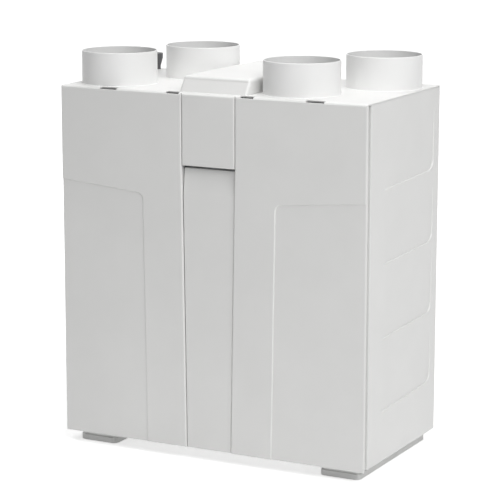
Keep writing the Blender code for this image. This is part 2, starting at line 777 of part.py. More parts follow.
def round_edges(piece, width):
    bevel = piece.modifiers.new("round_edges", "BEVEL")
    bevel.limit_method = "WEIGHT"
    bevel.width = width
    bevel.segments = BEVEL_STEPS


def cable_gland():
    bottom = UNDER_TOP - SPIGOT_LIP_THICKNESS
    top = TOP_Z + GLAND_HEIGHT
    profile = [
        (GLAND_BORE, top),
        (GLAND_CUP_RADIUS, top),
        (GLAND_CUP_RADIUS - GLAND_CUP_TAPER, top - GLAND_CUP_HEIGHT),
        (GLAND_SHOULDER_RADIUS, TOP_Z + GLAND_SHOULDER_HEIGHT),
        (GLAND_SHOULDER_RADIUS, TOP_Z + SEAT_GAP),
        (GLAND_NECK_RADIUS, TOP_Z + SEAT_GAP),
        (GLAND_NECK_RADIUS, bottom),
        (GLAND_BORE, bottom),
    ]
    gland = add("cable_gland", turned(profile, GLAND_STEPS), GREY_PLASTIC)
    gland.location = (*GLAND_PLACE, 0.0)


def front_edge_weight(a, b):
    """Full rounding along a panel's top front edge, less along its other front edges."""
    if max(a.y, b.y) > FRONT + WELD:
        return 0.0
    if min(a.z, b.z) > TOP_Z - WELD:
        return 1.0
    return EDGE_RADIUS / TOP_EDGE_RADIUS


def hollow_panel(name, outline, pocket):
    """A moulded panel: a rounded plate with a rim round its back."""
    panel = add(name, extruded([outline], "Y", FRONT, RETURN_BACK), WHITE_PANEL)
    weigh_edges(panel, front_edge_weight)
    round_edges(panel, TOP_EDGE_RADIUS)
    cut(panel, extruded([pocket], "Y", PANEL_BACK, RETURN_BACK + OVERSHOOT))
    return panel


def side_front_panels():
    inner = [(strip_half(h), FRONT_Z + h) for h in (0.0, STRIP_BEND, UPPER_PANEL_BOTTOM, FRONT_HEIGHT)]
    outline = [(SIDE, FRONT_Z), (SIDE, TOP_Z)] + inner[::-1]
    wall = PANEL_WALL
    edge = [(u + wall, v) for u, v in inner]
    edge[0] = (edge[0][0], FRONT_Z + wall)
    edge[-1] = (edge[-1][0], TOP_Z - wall)
    pocket = [(SIDE - wall, FRONT_Z + wall), (SIDE - wall, TOP_Z - wall)] + edge[::-1]
    right = hollow_panel("right_front_panel", outline, pocket)
    deep = [(u + RIM_INSET, v) for u, v in inner[:-1]]
    deep[0] = (deep[0][0], FRONT_Z + wall)
    rim = deep + [(u + wall, v) for u, v in deep[::-1]]
    join(right, extruded([rim], "Y", PANEL_BACK - JOIN_DEPTH, SIDE_FRONT + SIDE_WALL))
    for offset in (RIB_OFFSET, SIDE - RIB_SIDE_MARGIN):
        low = (offset - RIB_THICKNESS / 2, PANEL_BACK - JOIN_DEPTH / 2, BASE_TOP + RIB_END_MARGIN)
        high = (offset + RIB_THICKNESS / 2, PLATE_FRONT - SEAT_GAP, CHAMBER_TOP - SIDE_FLANGE)
        join(right, block(low, high))
    below = FRONT_Z - OVERSHOOT
    beyond = SIDE + OVERSHOOT
    recess = [
        (RECESS_INNER_BOTTOM, below, 0.0),
        (beyond, below, 0.0),
        (beyond, FRONT_Z + RECESS_TOP + RECESS_RISE, 0.0),
        (RECESS_INNER_TOP, FRONT_Z + RECESS_TOP, RECESS_CORNER_RADIUS),
    ]
    cut(right, extruded([rounded(recess)], "Y", FRONT - OVERSHOOT, FRONT + PANEL_RECESS))
    for start, end in hook_spans():
        low = (start, PANEL_BACK - HOOK_NOTCH_DEPTH, TOP_Z - PANEL_WALL - HOOK_NOTCH_DEPTH)
        cut(right, block(low, (end, RETURN_BACK + OVERSHOOT, TOP_Z + OVERSHOOT)))
    mirrored(right, "left_front_panel")


def upper_centre_panel():
    half = STRIP_HALF_TOP - STRIP_CLEARANCE
    bottom = FRONT_Z + UPPER_PANEL_BOTTOM
    wall = PANEL_WALL
    pocket = rectangle(-half + wall, half - wall, bottom + wall, TOP_Z - wall)
    panel = hollow_panel("upper_centre_panel", rectangle(-half, half, bottom, TOP_Z), pocket)
    for side in (-1, 1):
        middle = side * (half - RIB_END_MARGIN)
        low = (middle - RIB_THICKNESS / 2, PANEL_BACK - JOIN_DEPTH / 2, bottom + RIB_END_MARGIN)
        high = (middle + RIB_THICKNESS / 2, PLATE_FRONT - SEAT_GAP, CHAMBER_TOP - SIDE_FLANGE)
        join(panel, block(low, high))


def pin_place():
    """The Y and Z of the cover's hinge axis."""
    setback = COVER_WALL + PIN_WALL_GAP + PIN_HEAD_RADIUS
    return cover_front(PIN_HEIGHT) + setback, FRONT_Z + PIN_HEIGHT


def filter_cover():
    """The tall strip that hides the filters: a channel bent back at its top into a finger grip."""
    sections = []
    for height in (STRIP_CLEARANCE / 2, STRIP_BEND, STRIP_TOP):
        half = strip_half(height) - STRIP_CLEARANCE
        face = cover_front(height)
        back = face + COVER_WALL
        depth = COVER_FLANGE if height >= STRIP_BEND else COVER_FLANGE_BOTTOM
        rim = min(face + depth, PLATE_FRONT - STRIP_CLEARANCE)
        level = FRONT_Z + height
        ring = [(-half, face), (half, face), (half, rim), (half - COVER_WALL, rim)]
        ring += [(half - COVER_WALL, back), (COVER_WALL - half, back), (COVER_WALL - half, rim), (-half, rim)]
        sections.append([(x, y, level) for x, y in ring])
    cover = add("filter_cover", loft(sections), WHITE_PANEL)
    y, z = pin_place()
    set_origin(cover, (0.0, y, z))
    reach = STRIP_HALF_BOTTOM + OVERSHOOT
    for side in (-1, 1):
        ends = sorted((side * reach, side * (EAR_OFFSET + EAR_THICKNESS)))
        cut(cover, rod(PIN_RADIUS + PIN_CLEARANCE, "X", ends[0], ends[1], (0.0, y, z), PIN_STEPS))
        room = EAR_RADIUS + EAR_CLEARANCE
        sides = (side * (EAR_OFFSET - EAR_CLEARANCE), side * (EAR_OFFSET + EAR_THICKNESS + EAR_CLEARANCE))
        corners = [
            (y - room, z + room, room),
            (y - room, FRONT_Z - OVERSHOOT, 0.0),
            (y + room, FRONT_Z - OVERSHOOT, 0.0),
            (y + room, z + room, room),
        ]
        cut(cover, extruded([rounded(corners)], "X", min(sides), max(sides)))


def hinge_pins():
    y, z = pin_place()
    outer = strip_half(PIN_HEIGHT) - STRIP_CLEARANCE
    head_start = EAR_OFFSET - SEAT_GAP
    profile = [
        (0.0, outer),
        (PIN_RADIUS, outer),
        (PIN_RADIUS, head_start),
        (PIN_HEAD_RADIUS, head_start),
        (PIN_HEAD_RADIUS, head_start - PIN_HEAD),
        (0.0, head_start - PIN_HEAD),
    ]
    right = add("right_hinge_pin", turned(profile, PIN_STEPS, "X"), STEEL)
    right.location = (0.0, y, z)
    left = add("left_hinge_pin", turned([(r, -x) for r, x in profile], PIN_STEPS, "X"), STEEL)
    left.location = (0.0, y, z)


def filter_sides():
    """The X limits of the left filter, outer edge first."""
    heights = (FILTER_BOTTOM - FRONT_Z, STRIP_BEND, STRIP_TOP)
    narrowest = min(strip_half(height) for height in heights)
    outer = FILTER_STRIP_MARGIN + FILTER_CAP_MARGIN + COVER_WALL + STRIP_CLEARANCE - narrowest
    return outer, outer + FILTER_THICKNESS


def inner_front_plate():
    outer, inner = filter_sides()
    play = FILTER_RUN_CLEARANCE
    half = inside_half(PLATE_FRONT)
    sheet = block((-half, PLATE_FRONT, BASE_TOP + SEAT_GAP), (half, PLATE_BACK, CHAMBER_TOP))
    plate = add("inner_front_plate", sheet, ZINC_SHEET)
    y, z = pin_place()
    for side in (-1, 1):
        slot = sorted((side * (outer - play), side * (inner + play)))
        slot_low = (slot[0], PLATE_FRONT - OVERSHOOT, FLOOR_TOP)
        cut(plate, block(slot_low, (slot[1], PLATE_BACK + OVERSHOOT, FILTER_TOP + SEAT_GAP)))
        edges = sorted((side * EAR_OFFSET, side * (EAR_OFFSET + EAR_THICKNESS)))
        corners = [
            (y - EAR_RADIUS, z + EAR_RADIUS, EAR_RADIUS),
            (y - EAR_RADIUS, z - EAR_RADIUS, EAR_RADIUS),
            (PLATE_FRONT + INNER_SHEET / 2, z - EAR_RADIUS, 0.0),
            (PLATE_FRONT + INNER_SHEET / 2, z + EAR_RADIUS, 0.0),
        ]
        join(plate, extruded([rounded(corners)], "X", edges[0], edges[1]))
        ends = (edges[0] - OVERSHOOT, edges[1] + OVERSHOOT)
        cut(plate, rod(PIN_RADIUS + PIN_CLEARANCE, "X", ends[0], ends[1], (0.0, y, z), PIN_STEPS))


def front_gasket():
    """A seal up both sides and over the top, between the side panels' returns and the inner plate."""
    half = SIDE - SIDE_FRONT_RADIUS
    low = SIDE - SIDE_FLANGE
    bottom = BASE_TOP + SEAT_GAP
    width = half - low
    under = CHAMBER_TOP - width
    arch = [(-half, bottom), (-low, bottom), (-low, under), (low, under), (low, bottom), (half, bottom)]
    arch += [(half, CHAMBER_TOP), (-half, CHAMBER_TOP)]
    start = SIDE_FRONT + SIDE_WALL + SEAT_GAP
    add("front_gasket", extruded([arch], "Y", start, PLATE_FRONT - SEAT_GAP), RUBBER)


def cover_catch():
    """The magnet that holds the finger grip's back."""
    top = STRIP_TOP - CATCH_DROP
    slant = (COVER_RECESS_TOP - COVER_RECESS_BEND) / (STRIP_TOP - STRIP_BEND)
    nose = cover_front(top) + COVER_WALL * math.hypot(1.0, slant) + SEAT_GAP
    low = (-CATCH_HALF_WIDTH, nose, FRONT_Z + top - CATCH_HEIGHT)
    add("cover_catch", block(low, (CATCH_HALF_WIDTH, PLATE_FRONT - SEAT_GAP, FRONT_Z + top)), GREY_PLASTIC)


def duct_hole(low_centre, low_half, high_centre):
    """A solid that passes from a rectangle below to a circle above, for cutting a duct."""
    radius = SPIGOT_RADIUS - SPIGOT_WALL
    sections = []
    for level in (DUCT_BOTTOM - OVERSHOOT, DUCT_TOP + OVERSHOOT):
        share = (level - DUCT_BOTTOM) / (DUCT_TOP - DUCT_BOTTOM)
        section = []
        for u, v in circle((0.0, 0.0), 1.0):
            stretch = 1.0 / max(abs(u), abs(v))
            low_u = low_centre[0] + u * stretch * low_half[0]
            low_v = low_centre[1] + v * stretch * low_half[1]
            spoke = Vector((high_centre[0] + u * radius, high_centre[1] + v * radius))
            section.append((*Vector((low_u, low_v)).lerp(spoke, share), level))
        sections.append(section)
    return loft(sections)


def duct_blocks():
    """Moulded foam under the spigots: each block turns two round ducts into rectangular ones."""
    depth = REAR_PANEL_FRONT - 2 * SEAT_GAP - SKIRT
    inner = BOX_HALF_WIDTH + SEAT_GAP
    step = SIDE - SIDE_FLANGE - SEAT_GAP
    flange = -SIDE_FRONT - SIDE_WALL - SEAT_GAP
    bend = -SIDE_FRONT - SIDE_FRONT_RADIUS
    outline = [
        (-INSIDE, bend),
        (-INSIDE, -bend),
        (-step, -flange),
        (-step, -depth),
        (-inner, -depth),
        (-inner, depth),
        (-step, depth),
        (-step, flange),
    ]
    left = add("left_duct_block", extruded([outline], "Z", DUCT_BOTTOM, DUCT_TOP), FOAM)
    front_wall = FAN_AXIS_OFFSET + SCROLL_END_RADIUS - FAN_WALL
    rear_wall = FAN_AXIS_OFFSET + TONGUE_OFFSET + FAN_WALL
    outlet = (-(FAN_OUTER + FAN_INNER) / 2, -(front_wall + rear_wall) / 2)
    outlet_half = (FAN_DEPTH / 2 - FAN_WALL, (front_wall - rear_wall) / 2)
    places = spigot_places()
    cut(left, duct_hole(outlet, outlet_half, places["front_left_spigot"]))
    inlet_edges = (-WALL_INNER + CHAMBER_SHEET, -inner - CHAMBER_SHEET)
    inlet = ((inlet_edges[0] + inlet_edges[1]) / 2, INNER_SPIGOT[1])
    inlet_depth = INNER_DEPTH - INLET_END_MARGIN - INNER_SPIGOT[1]
    inlet_half = ((inlet_edges[1] - inlet_edges[0]) / 2, inlet_depth)
    cut(left, duct_hole(inlet, inlet_half, places["rear_left_spigot"]))
    turned_round(left, "right_duct_block")


def electronics_box():
    """A sheet channel between the two duct blocks; its floor also guides the tops of the filters."""
    half = BOX_HALF_WIDTH
    top = UNDER_TOP - SEAT_GAP
    wall = BOX_WALL
    floor = BOX_BOTTOM + wall
    channel = [(-half, BOX_BOTTOM), (half, BOX_BOTTOM), (half, top), (half - wall, top)]
    channel += [(half - wall, floor), (wall - half, floor), (wall - half, top), (-half, top)]
    add("electronics_box", extruded([channel], "Y", -INNER_DEPTH, INNER_DEPTH), ZINC_SHEET)


def control_board():
    """A board on standoffs, with its larger components."""
    bottom = BOX_BOTTOM + BOX_WALL + SEAT_GAP
    sheet = bottom + STANDOFF_HEIGHT
    top = sheet + BOARD_SHEET
    half = BOX_HALF_WIDTH - BOX_WALL - BOARD_SIDE_MARGIN
    length = INNER_DEPTH - BOARD_END_MARGIN
    board = add("control_board", block((-half, -length, sheet), (half, length, top)), BOARD_GREEN)
    sunk = top - BOARD_SHEET / 2
    for x in (STANDOFF_INSET - half, half - STANDOFF_INSET):
        for y in (STANDOFF_INSET - length, length - STANDOFF_INSET):
            join(board, rod(STANDOFF_RADIUS, "Z", bottom, sunk, (x, y, 0.0), STANDOFF_STEPS))
    components = [(TRANSFORMER, TRANSFORMER_PLACE), (TERMINAL_STRIP, TERMINAL_PLACE), (CHIP, CHIP_PLACE)]
    components += [(RELAY, place) for place in RELAY_PLACES]
    for (width, depth, height), (x, y) in components:
        low = (x - width / 2, y - depth / 2, sunk)
        join(board, block(low, (x + width / 2, y + depth / 2, top + height)))
    for x, y in CAPACITOR_PLACES:
        join(board, rod(CAPACITOR_RADIUS, "Z", sunk, top + CAPACITOR_HEIGHT, (x, y, 0.0), CAPACITOR_STEPS))


def hexagon(half_width, half_side, half_height, middle):
    """The exchanger's outline: upright sides and slanted faces that meet at the top and bottom."""
    return [
        (0.0, middle + half_height),
        (-half_width, middle + half_side),
        (-half_width, middle - half_side),
        (0.0, middle - half_height),
        (half_width, middle - half_side),
        (half_width, middle + half_side),
    ]


def heat_exchanger():
    """A stack of plates on a core, so that air channels open on the four slanted faces."""
    half_side = EXCHANGER_SIDE / 2
    half_height = half_side + EXCHANGER_RISE
    width = EXCHANGER_HALF_WIDTH
    middle = EXCHANGER_MIDDLE
    plate = hexagon(width, half_side, half_height, middle)
    core_width = width - PLATE_SIDE_INSET
    core = hexagon(core_width, half_side - PLATE_INSET, half_height - PLATE_INSET, middle)
    reach = INNER_DEPTH - EXCHANGER_FRAME - SEAT_GAP
    pitch = 2 * reach / (PLATE_COUNT - 1 + PLATE_FILL)
    sections = []
    for i in range(PLATE_COUNT):
        start = -reach + i * pitch
        end = start + pitch * PLATE_FILL
        if i > 0:
            sections.append([(x, start, z) for x, z in core])
        sections.append([(x, start, z) for x, z in plate])
        sections.append([(x, end, z) for x, z in plate])
        if i < PLATE_COUNT - 1:
            sections.append([(x, end, z) for x, z in core])
    add("heat_exchanger", loft(sections), EXCHANGER_PLASTIC)
    rim = EXCHANGER_FRAME_RIM
    window = hexagon(width - rim, half_side - rim / 2, half_height - rim, middle)
    front = add(
        "exchanger_front_frame",
        extruded([plate, window], "Y", -INNER_DEPTH, EXCHANGER_FRAME - INNER_DEPTH),
        FAN_PLASTIC,
    )
    turned_round(front, "exchanger_rear_frame")


def condensate_tray():
    half = TRAY_HALF_WIDTH
    wall = TRAY_WALL
    floor = TRAY_Z + wall
    rim = TRAY_Z + TRAY_RIM
    rib = TRAY_RIB / 2
    rib_top = TRAY_Z + TRAY_RIB_HEIGHT
    pan = [(-half, rim), (-half, TRAY_Z), (half, TRAY_Z), (half, rim)]
    pan += [(half - wall, rim), (half - wall, floor)]
    pan += [(rib, floor), (rib, rib_top), (-rib, rib_top), (-rib, floor)]
    pan += [(wall - half, floor), (wall - half, rim)]
    tray = add("condensate_tray", extruded([pan], "Y", -INNER_DEPTH, INNER_DEPTH), GREY_PLASTIC)
    drain = DRAIN_RADIUS + SEAT_GAP
    cut(tray, rod(drain, "Z", TRAY_Z - OVERSHOOT, floor + OVERSHOOT, (DRAIN_OFFSET, 0.0, 0.0), DRAIN_STEPS))
    bore = DRAIN_RADIUS - DRAIN_WALL
    flange = DRAIN_RADIUS + DRAIN_FLANGE
    flange_top = TRAY_Z - SEAT_GAP
    flange_bottom = BASE_TOP + SEAT_GAP
    profile = [
        (bore, floor),
        (DRAIN_RADIUS, floor),
        (DRAIN_RADIUS, flange_top),
        (flange, flange_top),
        (flange, flange_bottom),
        (DRAIN_RADIUS, flange_bottom),
        (DRAIN_RADIUS, DRAIN_FLOOR_CLEARANCE),
        (bore, DRAIN_FLOOR_CLEARANCE),
    ]
    spout = add("drain_spout", turned(profile, DRAIN_STEPS), GREY_PLASTIC)
    spout.location = (DRAIN_OFFSET, 0.0, 0.0)


def flap_place():
    """The flap shaft's X and Z: the flap hangs from it against the right chamber wall."""
    return WALL_OUTER + FLAP_STANDOFF, FLOOR_TOP - FLOOR_DROP - FLAP_SHAFT_RADIUS


def chamber_walls():
    bottom = EXCHANGER_BOTTOM + EXCHANGER_RISE + CHAMBER_WALL_LAP
    outline = rectangle(-INNER_DEPTH, INNER_DEPTH, bottom, CHAMBER_TOP)
    left = extruded([outline], "X", -WALL_OUTER, -WALL_INNER)
    add("left_chamber_wall", left, ZINC_SHEET)
    margin = FLAP_WINDOW_MARGIN
    shaft = flap_place()[1]
    length = FLAP_HALF_LENGTH - margin
    window = rectangle(-length, length, shaft - FLAP_HEIGHT + margin, shaft - FLAP_SHAFT_RADIUS - margin)
    add("right_chamber_wall", extruded([outline, window], "X", WALL_INNER, WALL_OUTER), ZINC_SHEET)


def chamber_floors():
    """Sloped sheets from the chamber walls to ledges that carry the filters."""
    sheet = CHAMBER_SHEET
    outer, inner = filter_sides()
    wall_end = -EXCHANGER_HALF_WIDTH
    ledge = outer - FILTER_LEDGE_MARGIN
    lip = inner + FILTER_RUN_CLEARANCE
    low = FLOOR_TOP - FLOOR_DROP
    profile = [(wall_end, low), (ledge, FLOOR_TOP), (lip, FLOOR_TOP), (lip, FLOOR_TOP + FLOOR_LIP)]
    profile += [(lip + sheet, FLOOR_TOP + FLOOR_LIP), (lip + sheet, FLOOR_TOP - sheet)]
    profile += [(ledge, FLOOR_TOP - sheet), (wall_end, low - sheet)]
    left = add("left_chamber_floor", extruded([profile], "Y", -INNER_DEPTH, INNER_DEPTH), ZINC_SHEET)
    mirrored(left, "right_chamber_floor")
    half = sheet / 2
    low_corner = (-half, -INNER_DEPTH, EXCHANGER_TOP + SEAT_GAP)
    add("centre_partition", block(low_corner, (half, INNER_DEPTH, BOX_BOTTOM - SEAT_GAP)), ZINC_SHEET)


def filters():
    """Cassettes that slide in from the front: a frame with an end cap and a tab, and pleated media."""
    outer, inner = filter_sides()
    front = PLATE_FRONT - SEAT_GAP
    rim = FILTER_RIM
    outline = rectangle(front - FILTER_CAP / 2, INNER_DEPTH, FILTER_BOTTOM, FILTER_TOP)
    window = rectangle(front + rim, INNER_DEPTH - rim, FILTER_BOTTOM + rim, FILTER_TOP - rim)
    left = add("extract_filter_frame", extruded([outline, window], "X", outer, inner), FILTER_CARD)
    margin = FILTER_CAP_MARGIN
    cap_top = FILTER_TOP - CATCH_DROP
    cap_low = (outer - margin, front - FILTER_CAP, FILTER_BOTTOM - margin)
    join(left, block(cap_low, (inner + margin / 2, front, cap_top)))
    middle = (outer + inner) / 2
    centre = (FILTER_BOTTOM + FILTER_TOP) / 2
    tab_low = (middle - TAB_HALF_WIDTH, front - FILTER_CAP - TAB_DEPTH, centre - TAB_HALF_HEIGHT)
    tab_high = (middle + TAB_HALF_WIDTH, front - FILTER_CAP / 2, centre + TAB_HALF_HEIGHT)
    join(left, block(tab_low, tab_high))
    mirrored(left, "supply_filter_frame")
    start = front + rim + SEAT_GAP
    end = INNER_DEPTH - rim - SEAT_GAP
    sheet = PLEAT_SHEET
    swing = FILTER_THICKNESS / 2 - 2 * sheet
    folds = 2 * PLEAT_COUNT
    line = []
    for i in range(folds + 1):
        side = 1 if i % 2 else -1
        line.append((middle + side * swing, start + (end - start) * i / folds))
    pleats = [(x - sheet, y) for x, y in line] + [(x + sheet, y) for x, y in line[::-1]]
    low = FILTER_BOTTOM + rim + SEAT_GAP
    high = FILTER_TOP - rim - SEAT_GAP
    media = add("extract_filter_media", extruded([pleats], "Z", low, high), FILTER_FLEECE)
    mirrored(media, "supply_filter_media")


def scroll_outline(inset, rise):
    """A fan scroll seen along its axis, in Y and Z: a spiral that opens into an upright outlet."""
    tongue = -TONGUE_OFFSET - inset
    start_radius = SCROLL_START_RADIUS - inset
    start = math.acos(tongue / start_radius)
    sweep = start + math.pi
    outline = []
    for i in range(SCROLL_POINTS + 1):
        share = i / SCROLL_POINTS
        radius = start_radius + (SCROLL_END_RADIUS - SCROLL_START_RADIUS) * share
        angle = start - sweep * share
        outline.append((radius * math.cos(angle) - FAN_AXIS_OFFSET, radius * math.sin(angle) + FAN_Z))
    outline.append((outline[-1][0], CHAMBER_TOP + rise))
    outline.append((tongue - FAN_AXIS_OFFSET, CHAMBER_TOP + rise))
    return outline


def fans():
    """The left fan; the right one is the same, turned half round."""
    axis = (0.0, -FAN_AXIS_OFFSET, FAN_Z)
    wall = FAN_WALL
    outer = -FAN_OUTER
    inner = -FAN_INNER
    housing = add("left_fan_housing", extruded([scroll_outline(0.0, 0.0)], "X", outer, inner), FAN_PLASTIC)
    hollow = extruded([scroll_outline(wall, OVERSHOOT)], "X", outer + wall, inner - wall)
    cut(housing, hollow)
    eye = INLET_RADIUS + INLET_WALL + OVERSHOOT
    cut(housing, rod(eye, "X", inner - 2 * wall, inner + OVERSHOOT, axis, FAN_STEPS))
    seat = inner + SEAT_GAP
    throat = INLET_RADIUS
    profile = [
        (throat + INLET_LIP, seat + INLET_WALL),
        (throat + INLET_FLANGE + OVERSHOOT, seat + INLET_WALL),
        (throat + INLET_FLANGE + OVERSHOOT, seat),
        (throat + INLET_LIP, seat),
        (throat + INLET_WALL, seat - INLET_OUTER_BEND),
        (throat + INLET_WALL, seat - INLET_REACH),
        (throat, seat - INLET_REACH),
        (throat, seat - INLET_INNER_BEND),
    ]
    ring = add("left_inlet_ring", turned(profile, FAN_STEPS, "X", axis), FAN_PLASTIC)
    face = outer + wall + SEAT_GAP
    motor_end = face + MOTOR_FLANGE + MOTOR_LENGTH
    shroud = inner - WHEEL_FRONT_CLEARANCE
    back = shroud - WHEEL_WIDTH
    profile = [
        (0.0, shroud),
        (SHAFT_RADIUS, shroud),
        (SHAFT_RADIUS, motor_end),
        (MOTOR_RADIUS, motor_end),
        (MOTOR_RADIUS, face + MOTOR_FLANGE),
        (MOTOR_FLANGE_RADIUS, face + MOTOR_FLANGE),
        (MOTOR_FLANGE_RADIUS, face),
        (0.0, face),
    ]
    motor = add("left_motor", turned(profile, FAN_STEPS, "X", axis), STEEL)
    wheel = impeller(back, shroud, axis)
    for piece in (housing, ring, motor, wheel):
        turned_round(piece, piece.name.replace("left", "right"))


def impeller(back, shroud, axis):
    """A wheel of backward-curved blades between a back plate with a boss and a ring round its eye."""
    sheet = WHEEL_SHEET
    bore = SHAFT_RADIUS + SHAFT_CLEARANCE
    profile = [
        (bore, back + BOSS_REACH),
        (BOSS_RADIUS, back + BOSS_REACH),
        (BOSS_RADIUS, back),
        (WHEEL_RADIUS, back),
        (WHEEL_RADIUS, back - sheet),
        (bore, back - sheet),
    ]
    wheel = add("left_impeller", turned(profile, FAN_STEPS, "X"), FAN_PLASTIC)
    wheel.location = axis
    loops = []
    for blade in range(BLADE_COUNT):
        turn = 2 * math.pi * blade / BLADE_COUNT
        sides = ([], [])
        for i in range(BLADE_POINTS):
            share = i / (BLADE_POINTS - 1)
            radius = WHEEL_INNER_RADIUS + (WHEEL_RADIUS - BLADE_ROOT - WHEEL_INNER_RADIUS) * share
            angle = turn - BLADE_SWEEP * share
            half = BLADE_THICKNESS / 2 / radius
            for side, offset in zip(sides, (-half, half)):
                y = axis[1] + radius * math.cos(angle + offset)
                side.append((y, axis[2] + radius * math.sin(angle + offset)))
        loops.append(sides[0] + sides[1][::-1])
    join(wheel, extruded(loops, "X", back - BLADE_ROOT, shroud + BLADE_ROOT))
    ring = [
        (WHEEL_EYE_RADIUS, shroud + sheet),
        (WHEEL_RADIUS, shroud + sheet),
        (WHEEL_RADIUS, shroud),
        (WHEEL_EYE_RADIUS, shroud),
    ]
    join(wheel, turned(ring, FAN_STEPS, "X", axis))
    return wheel


def bypass():
    """A flap that hangs from its shaft over a window in the right chamber wall, with its actuator."""
    x, z = flap_place()
    half = FLAP_SHEET / 2
    low = (x - half, -FLAP_HALF_LENGTH, z - FLAP_HEIGHT)
    flap = add("bypass_flap", block(low, (x + half, FLAP_HALF_LENGTH, z)), WHITE_PLASTIC)
    set_origin(flap, (x, 0.0, z))
    bearing = FLAP_HALF_LENGTH + BEARING_GAP
    shaft_end = bearing + BEARING_SIZE - SEAT_GAP
    join(flap, rod(FLAP_SHAFT_RADIUS, "Y", -shaft_end, shaft_end, (x, 0.0, z), PIN_STEPS))
    face = WALL_OUTER + SEAT_GAP
    hole = FLAP_SHAFT_RADIUS + FLAP_SHAFT_CLEARANCE
    size = BEARING_SIZE
    margin = BEARING_MARGIN
    low = (face, bearing, z - margin)
    holder = add("bypass_bearing", block(low, (x + margin, bearing + size, z + margin)), GREY_PLASTIC)
    cut(holder, rod(hole, "Y", -bearing - 2 * size, OVERSHOOT - bearing, (x, 0.0, z), PIN_STEPS))
    low = (face, -bearing - ACTUATOR_LENGTH, z - ACTUATOR_DROP)
    high = (face + ACTUATOR_WIDTH, -bearing, z - ACTUATOR_DROP + ACTUATOR_HEIGHT)
    motor = add("bypass_actuator", block(low, high), GREY_PLASTIC)
    cut(motor, rod(hole, "Y", bearing - OVERSHOOT, bearing + size, (x, 0.0, z), PIN_STEPS))


foot_rails()
base()
side_panels()
rear_panel()
liners()
top_cover()
spigots()
connection_housing()
cable_gland()
side_front_panels()
upper_centre_panel()
filter_cover()
hinge_pins()
inner_front_plate()
front_gasket()
cover_catch()
duct_blocks()
electronics_box()
control_board()
heat_exchanger()
condensate_tray()
chamber_walls()
chamber_floors()
filters()
fans()
bypass()
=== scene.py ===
"""The looks of a heat recovery unit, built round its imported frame.

Units are metres. +X is to the right, -Y is the front and +Z is up.
"""

import json
import math

import bmesh
import bpy
import numpy as np
from mathutils import Matrix, Quaternion, Vector
from mathutils.geometry import delaunay_2d_cdt

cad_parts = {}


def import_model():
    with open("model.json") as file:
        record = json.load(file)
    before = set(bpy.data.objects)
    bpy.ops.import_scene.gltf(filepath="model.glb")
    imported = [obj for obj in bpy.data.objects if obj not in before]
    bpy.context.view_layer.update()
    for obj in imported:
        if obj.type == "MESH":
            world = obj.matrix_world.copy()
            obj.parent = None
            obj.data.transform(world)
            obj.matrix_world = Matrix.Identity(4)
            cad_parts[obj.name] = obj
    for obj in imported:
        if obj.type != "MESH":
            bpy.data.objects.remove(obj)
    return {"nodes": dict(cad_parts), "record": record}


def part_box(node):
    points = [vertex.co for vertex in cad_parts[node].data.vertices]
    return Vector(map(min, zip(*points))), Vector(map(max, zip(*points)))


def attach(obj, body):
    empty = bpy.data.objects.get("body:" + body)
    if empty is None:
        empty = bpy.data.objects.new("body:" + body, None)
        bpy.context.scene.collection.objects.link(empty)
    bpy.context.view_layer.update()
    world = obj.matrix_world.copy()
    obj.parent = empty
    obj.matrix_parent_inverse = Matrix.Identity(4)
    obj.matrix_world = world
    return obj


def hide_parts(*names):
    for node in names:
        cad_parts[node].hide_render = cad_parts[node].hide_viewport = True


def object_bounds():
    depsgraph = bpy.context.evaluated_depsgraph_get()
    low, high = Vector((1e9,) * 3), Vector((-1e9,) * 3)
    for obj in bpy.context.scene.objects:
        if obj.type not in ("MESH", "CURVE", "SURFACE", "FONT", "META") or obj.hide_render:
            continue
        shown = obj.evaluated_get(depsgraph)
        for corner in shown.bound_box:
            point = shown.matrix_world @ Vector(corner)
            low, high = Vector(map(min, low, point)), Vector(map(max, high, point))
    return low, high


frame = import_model()
cad_low, cad_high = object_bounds()

# Camera
CAMERA_PLACE = Vector((2.0459, -3.9652, 1.3034))
CAMERA_AIM = Vector((-0.0013, -0.0007, 0.4169))
CAMERA_ROLL = math.radians(0.075)
CAMERA_LENS = 154.88
SENSOR_WIDTH = 36.0

# Light
AMBIENT = 0.15
KEY_PLACE = (2.4, -1.85, 3.0)
KEY_SIZE = 2.4
KEY_POWER = 88.0
TOP_PLACE = (-0.2, 0.2, 3.4)
TOP_SIZE = 2.6
TOP_POWER = 57.0
FLOOR_RADIUS = 40.0
FLOOR_SHADE = 0.92
FLOOR_GLOW = 0.55
GLOW_START = 0.9
GLOW_END = 2.4
FLOOR_LIFT = 0.16
LIFT_START = 0.6
LIFT_END = 1.2

# Mesh steps
ROUND_STEPS = 128
SOFT_STEPS = 6
ARC_STEPS = 6
BEND_LINES = 4
SHARP_ANGLE = math.radians(40)
FLOOR_STEPS = 64
OVERSHOOT = 0.005
SEAT_GAP = 0.0003
TINY = 1e-6

# Material textures
NOISE_DETAIL = 3.0
BLEND_LOW = 0.3
BLEND_HIGH = 0.7

# Faces of the cabinet, from the frame
FRONT = cad_low.y
REAR = cad_high.y
SIDE = cad_high.x
FRONT_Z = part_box("right_front_panel")[0].z
TOP_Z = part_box("upper_centre_panel")[1].z
PANEL_RETURN = 0.006
GRIP_RETURN = 0.016
PLATE_SHEET = 0.0015
RETURN_BACK = FRONT + PANEL_RETURN
GRIP_RETURN_BACK = FRONT + GRIP_RETURN
PLATE_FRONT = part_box("inner_front_plate")[1].y - PLATE_SHEET

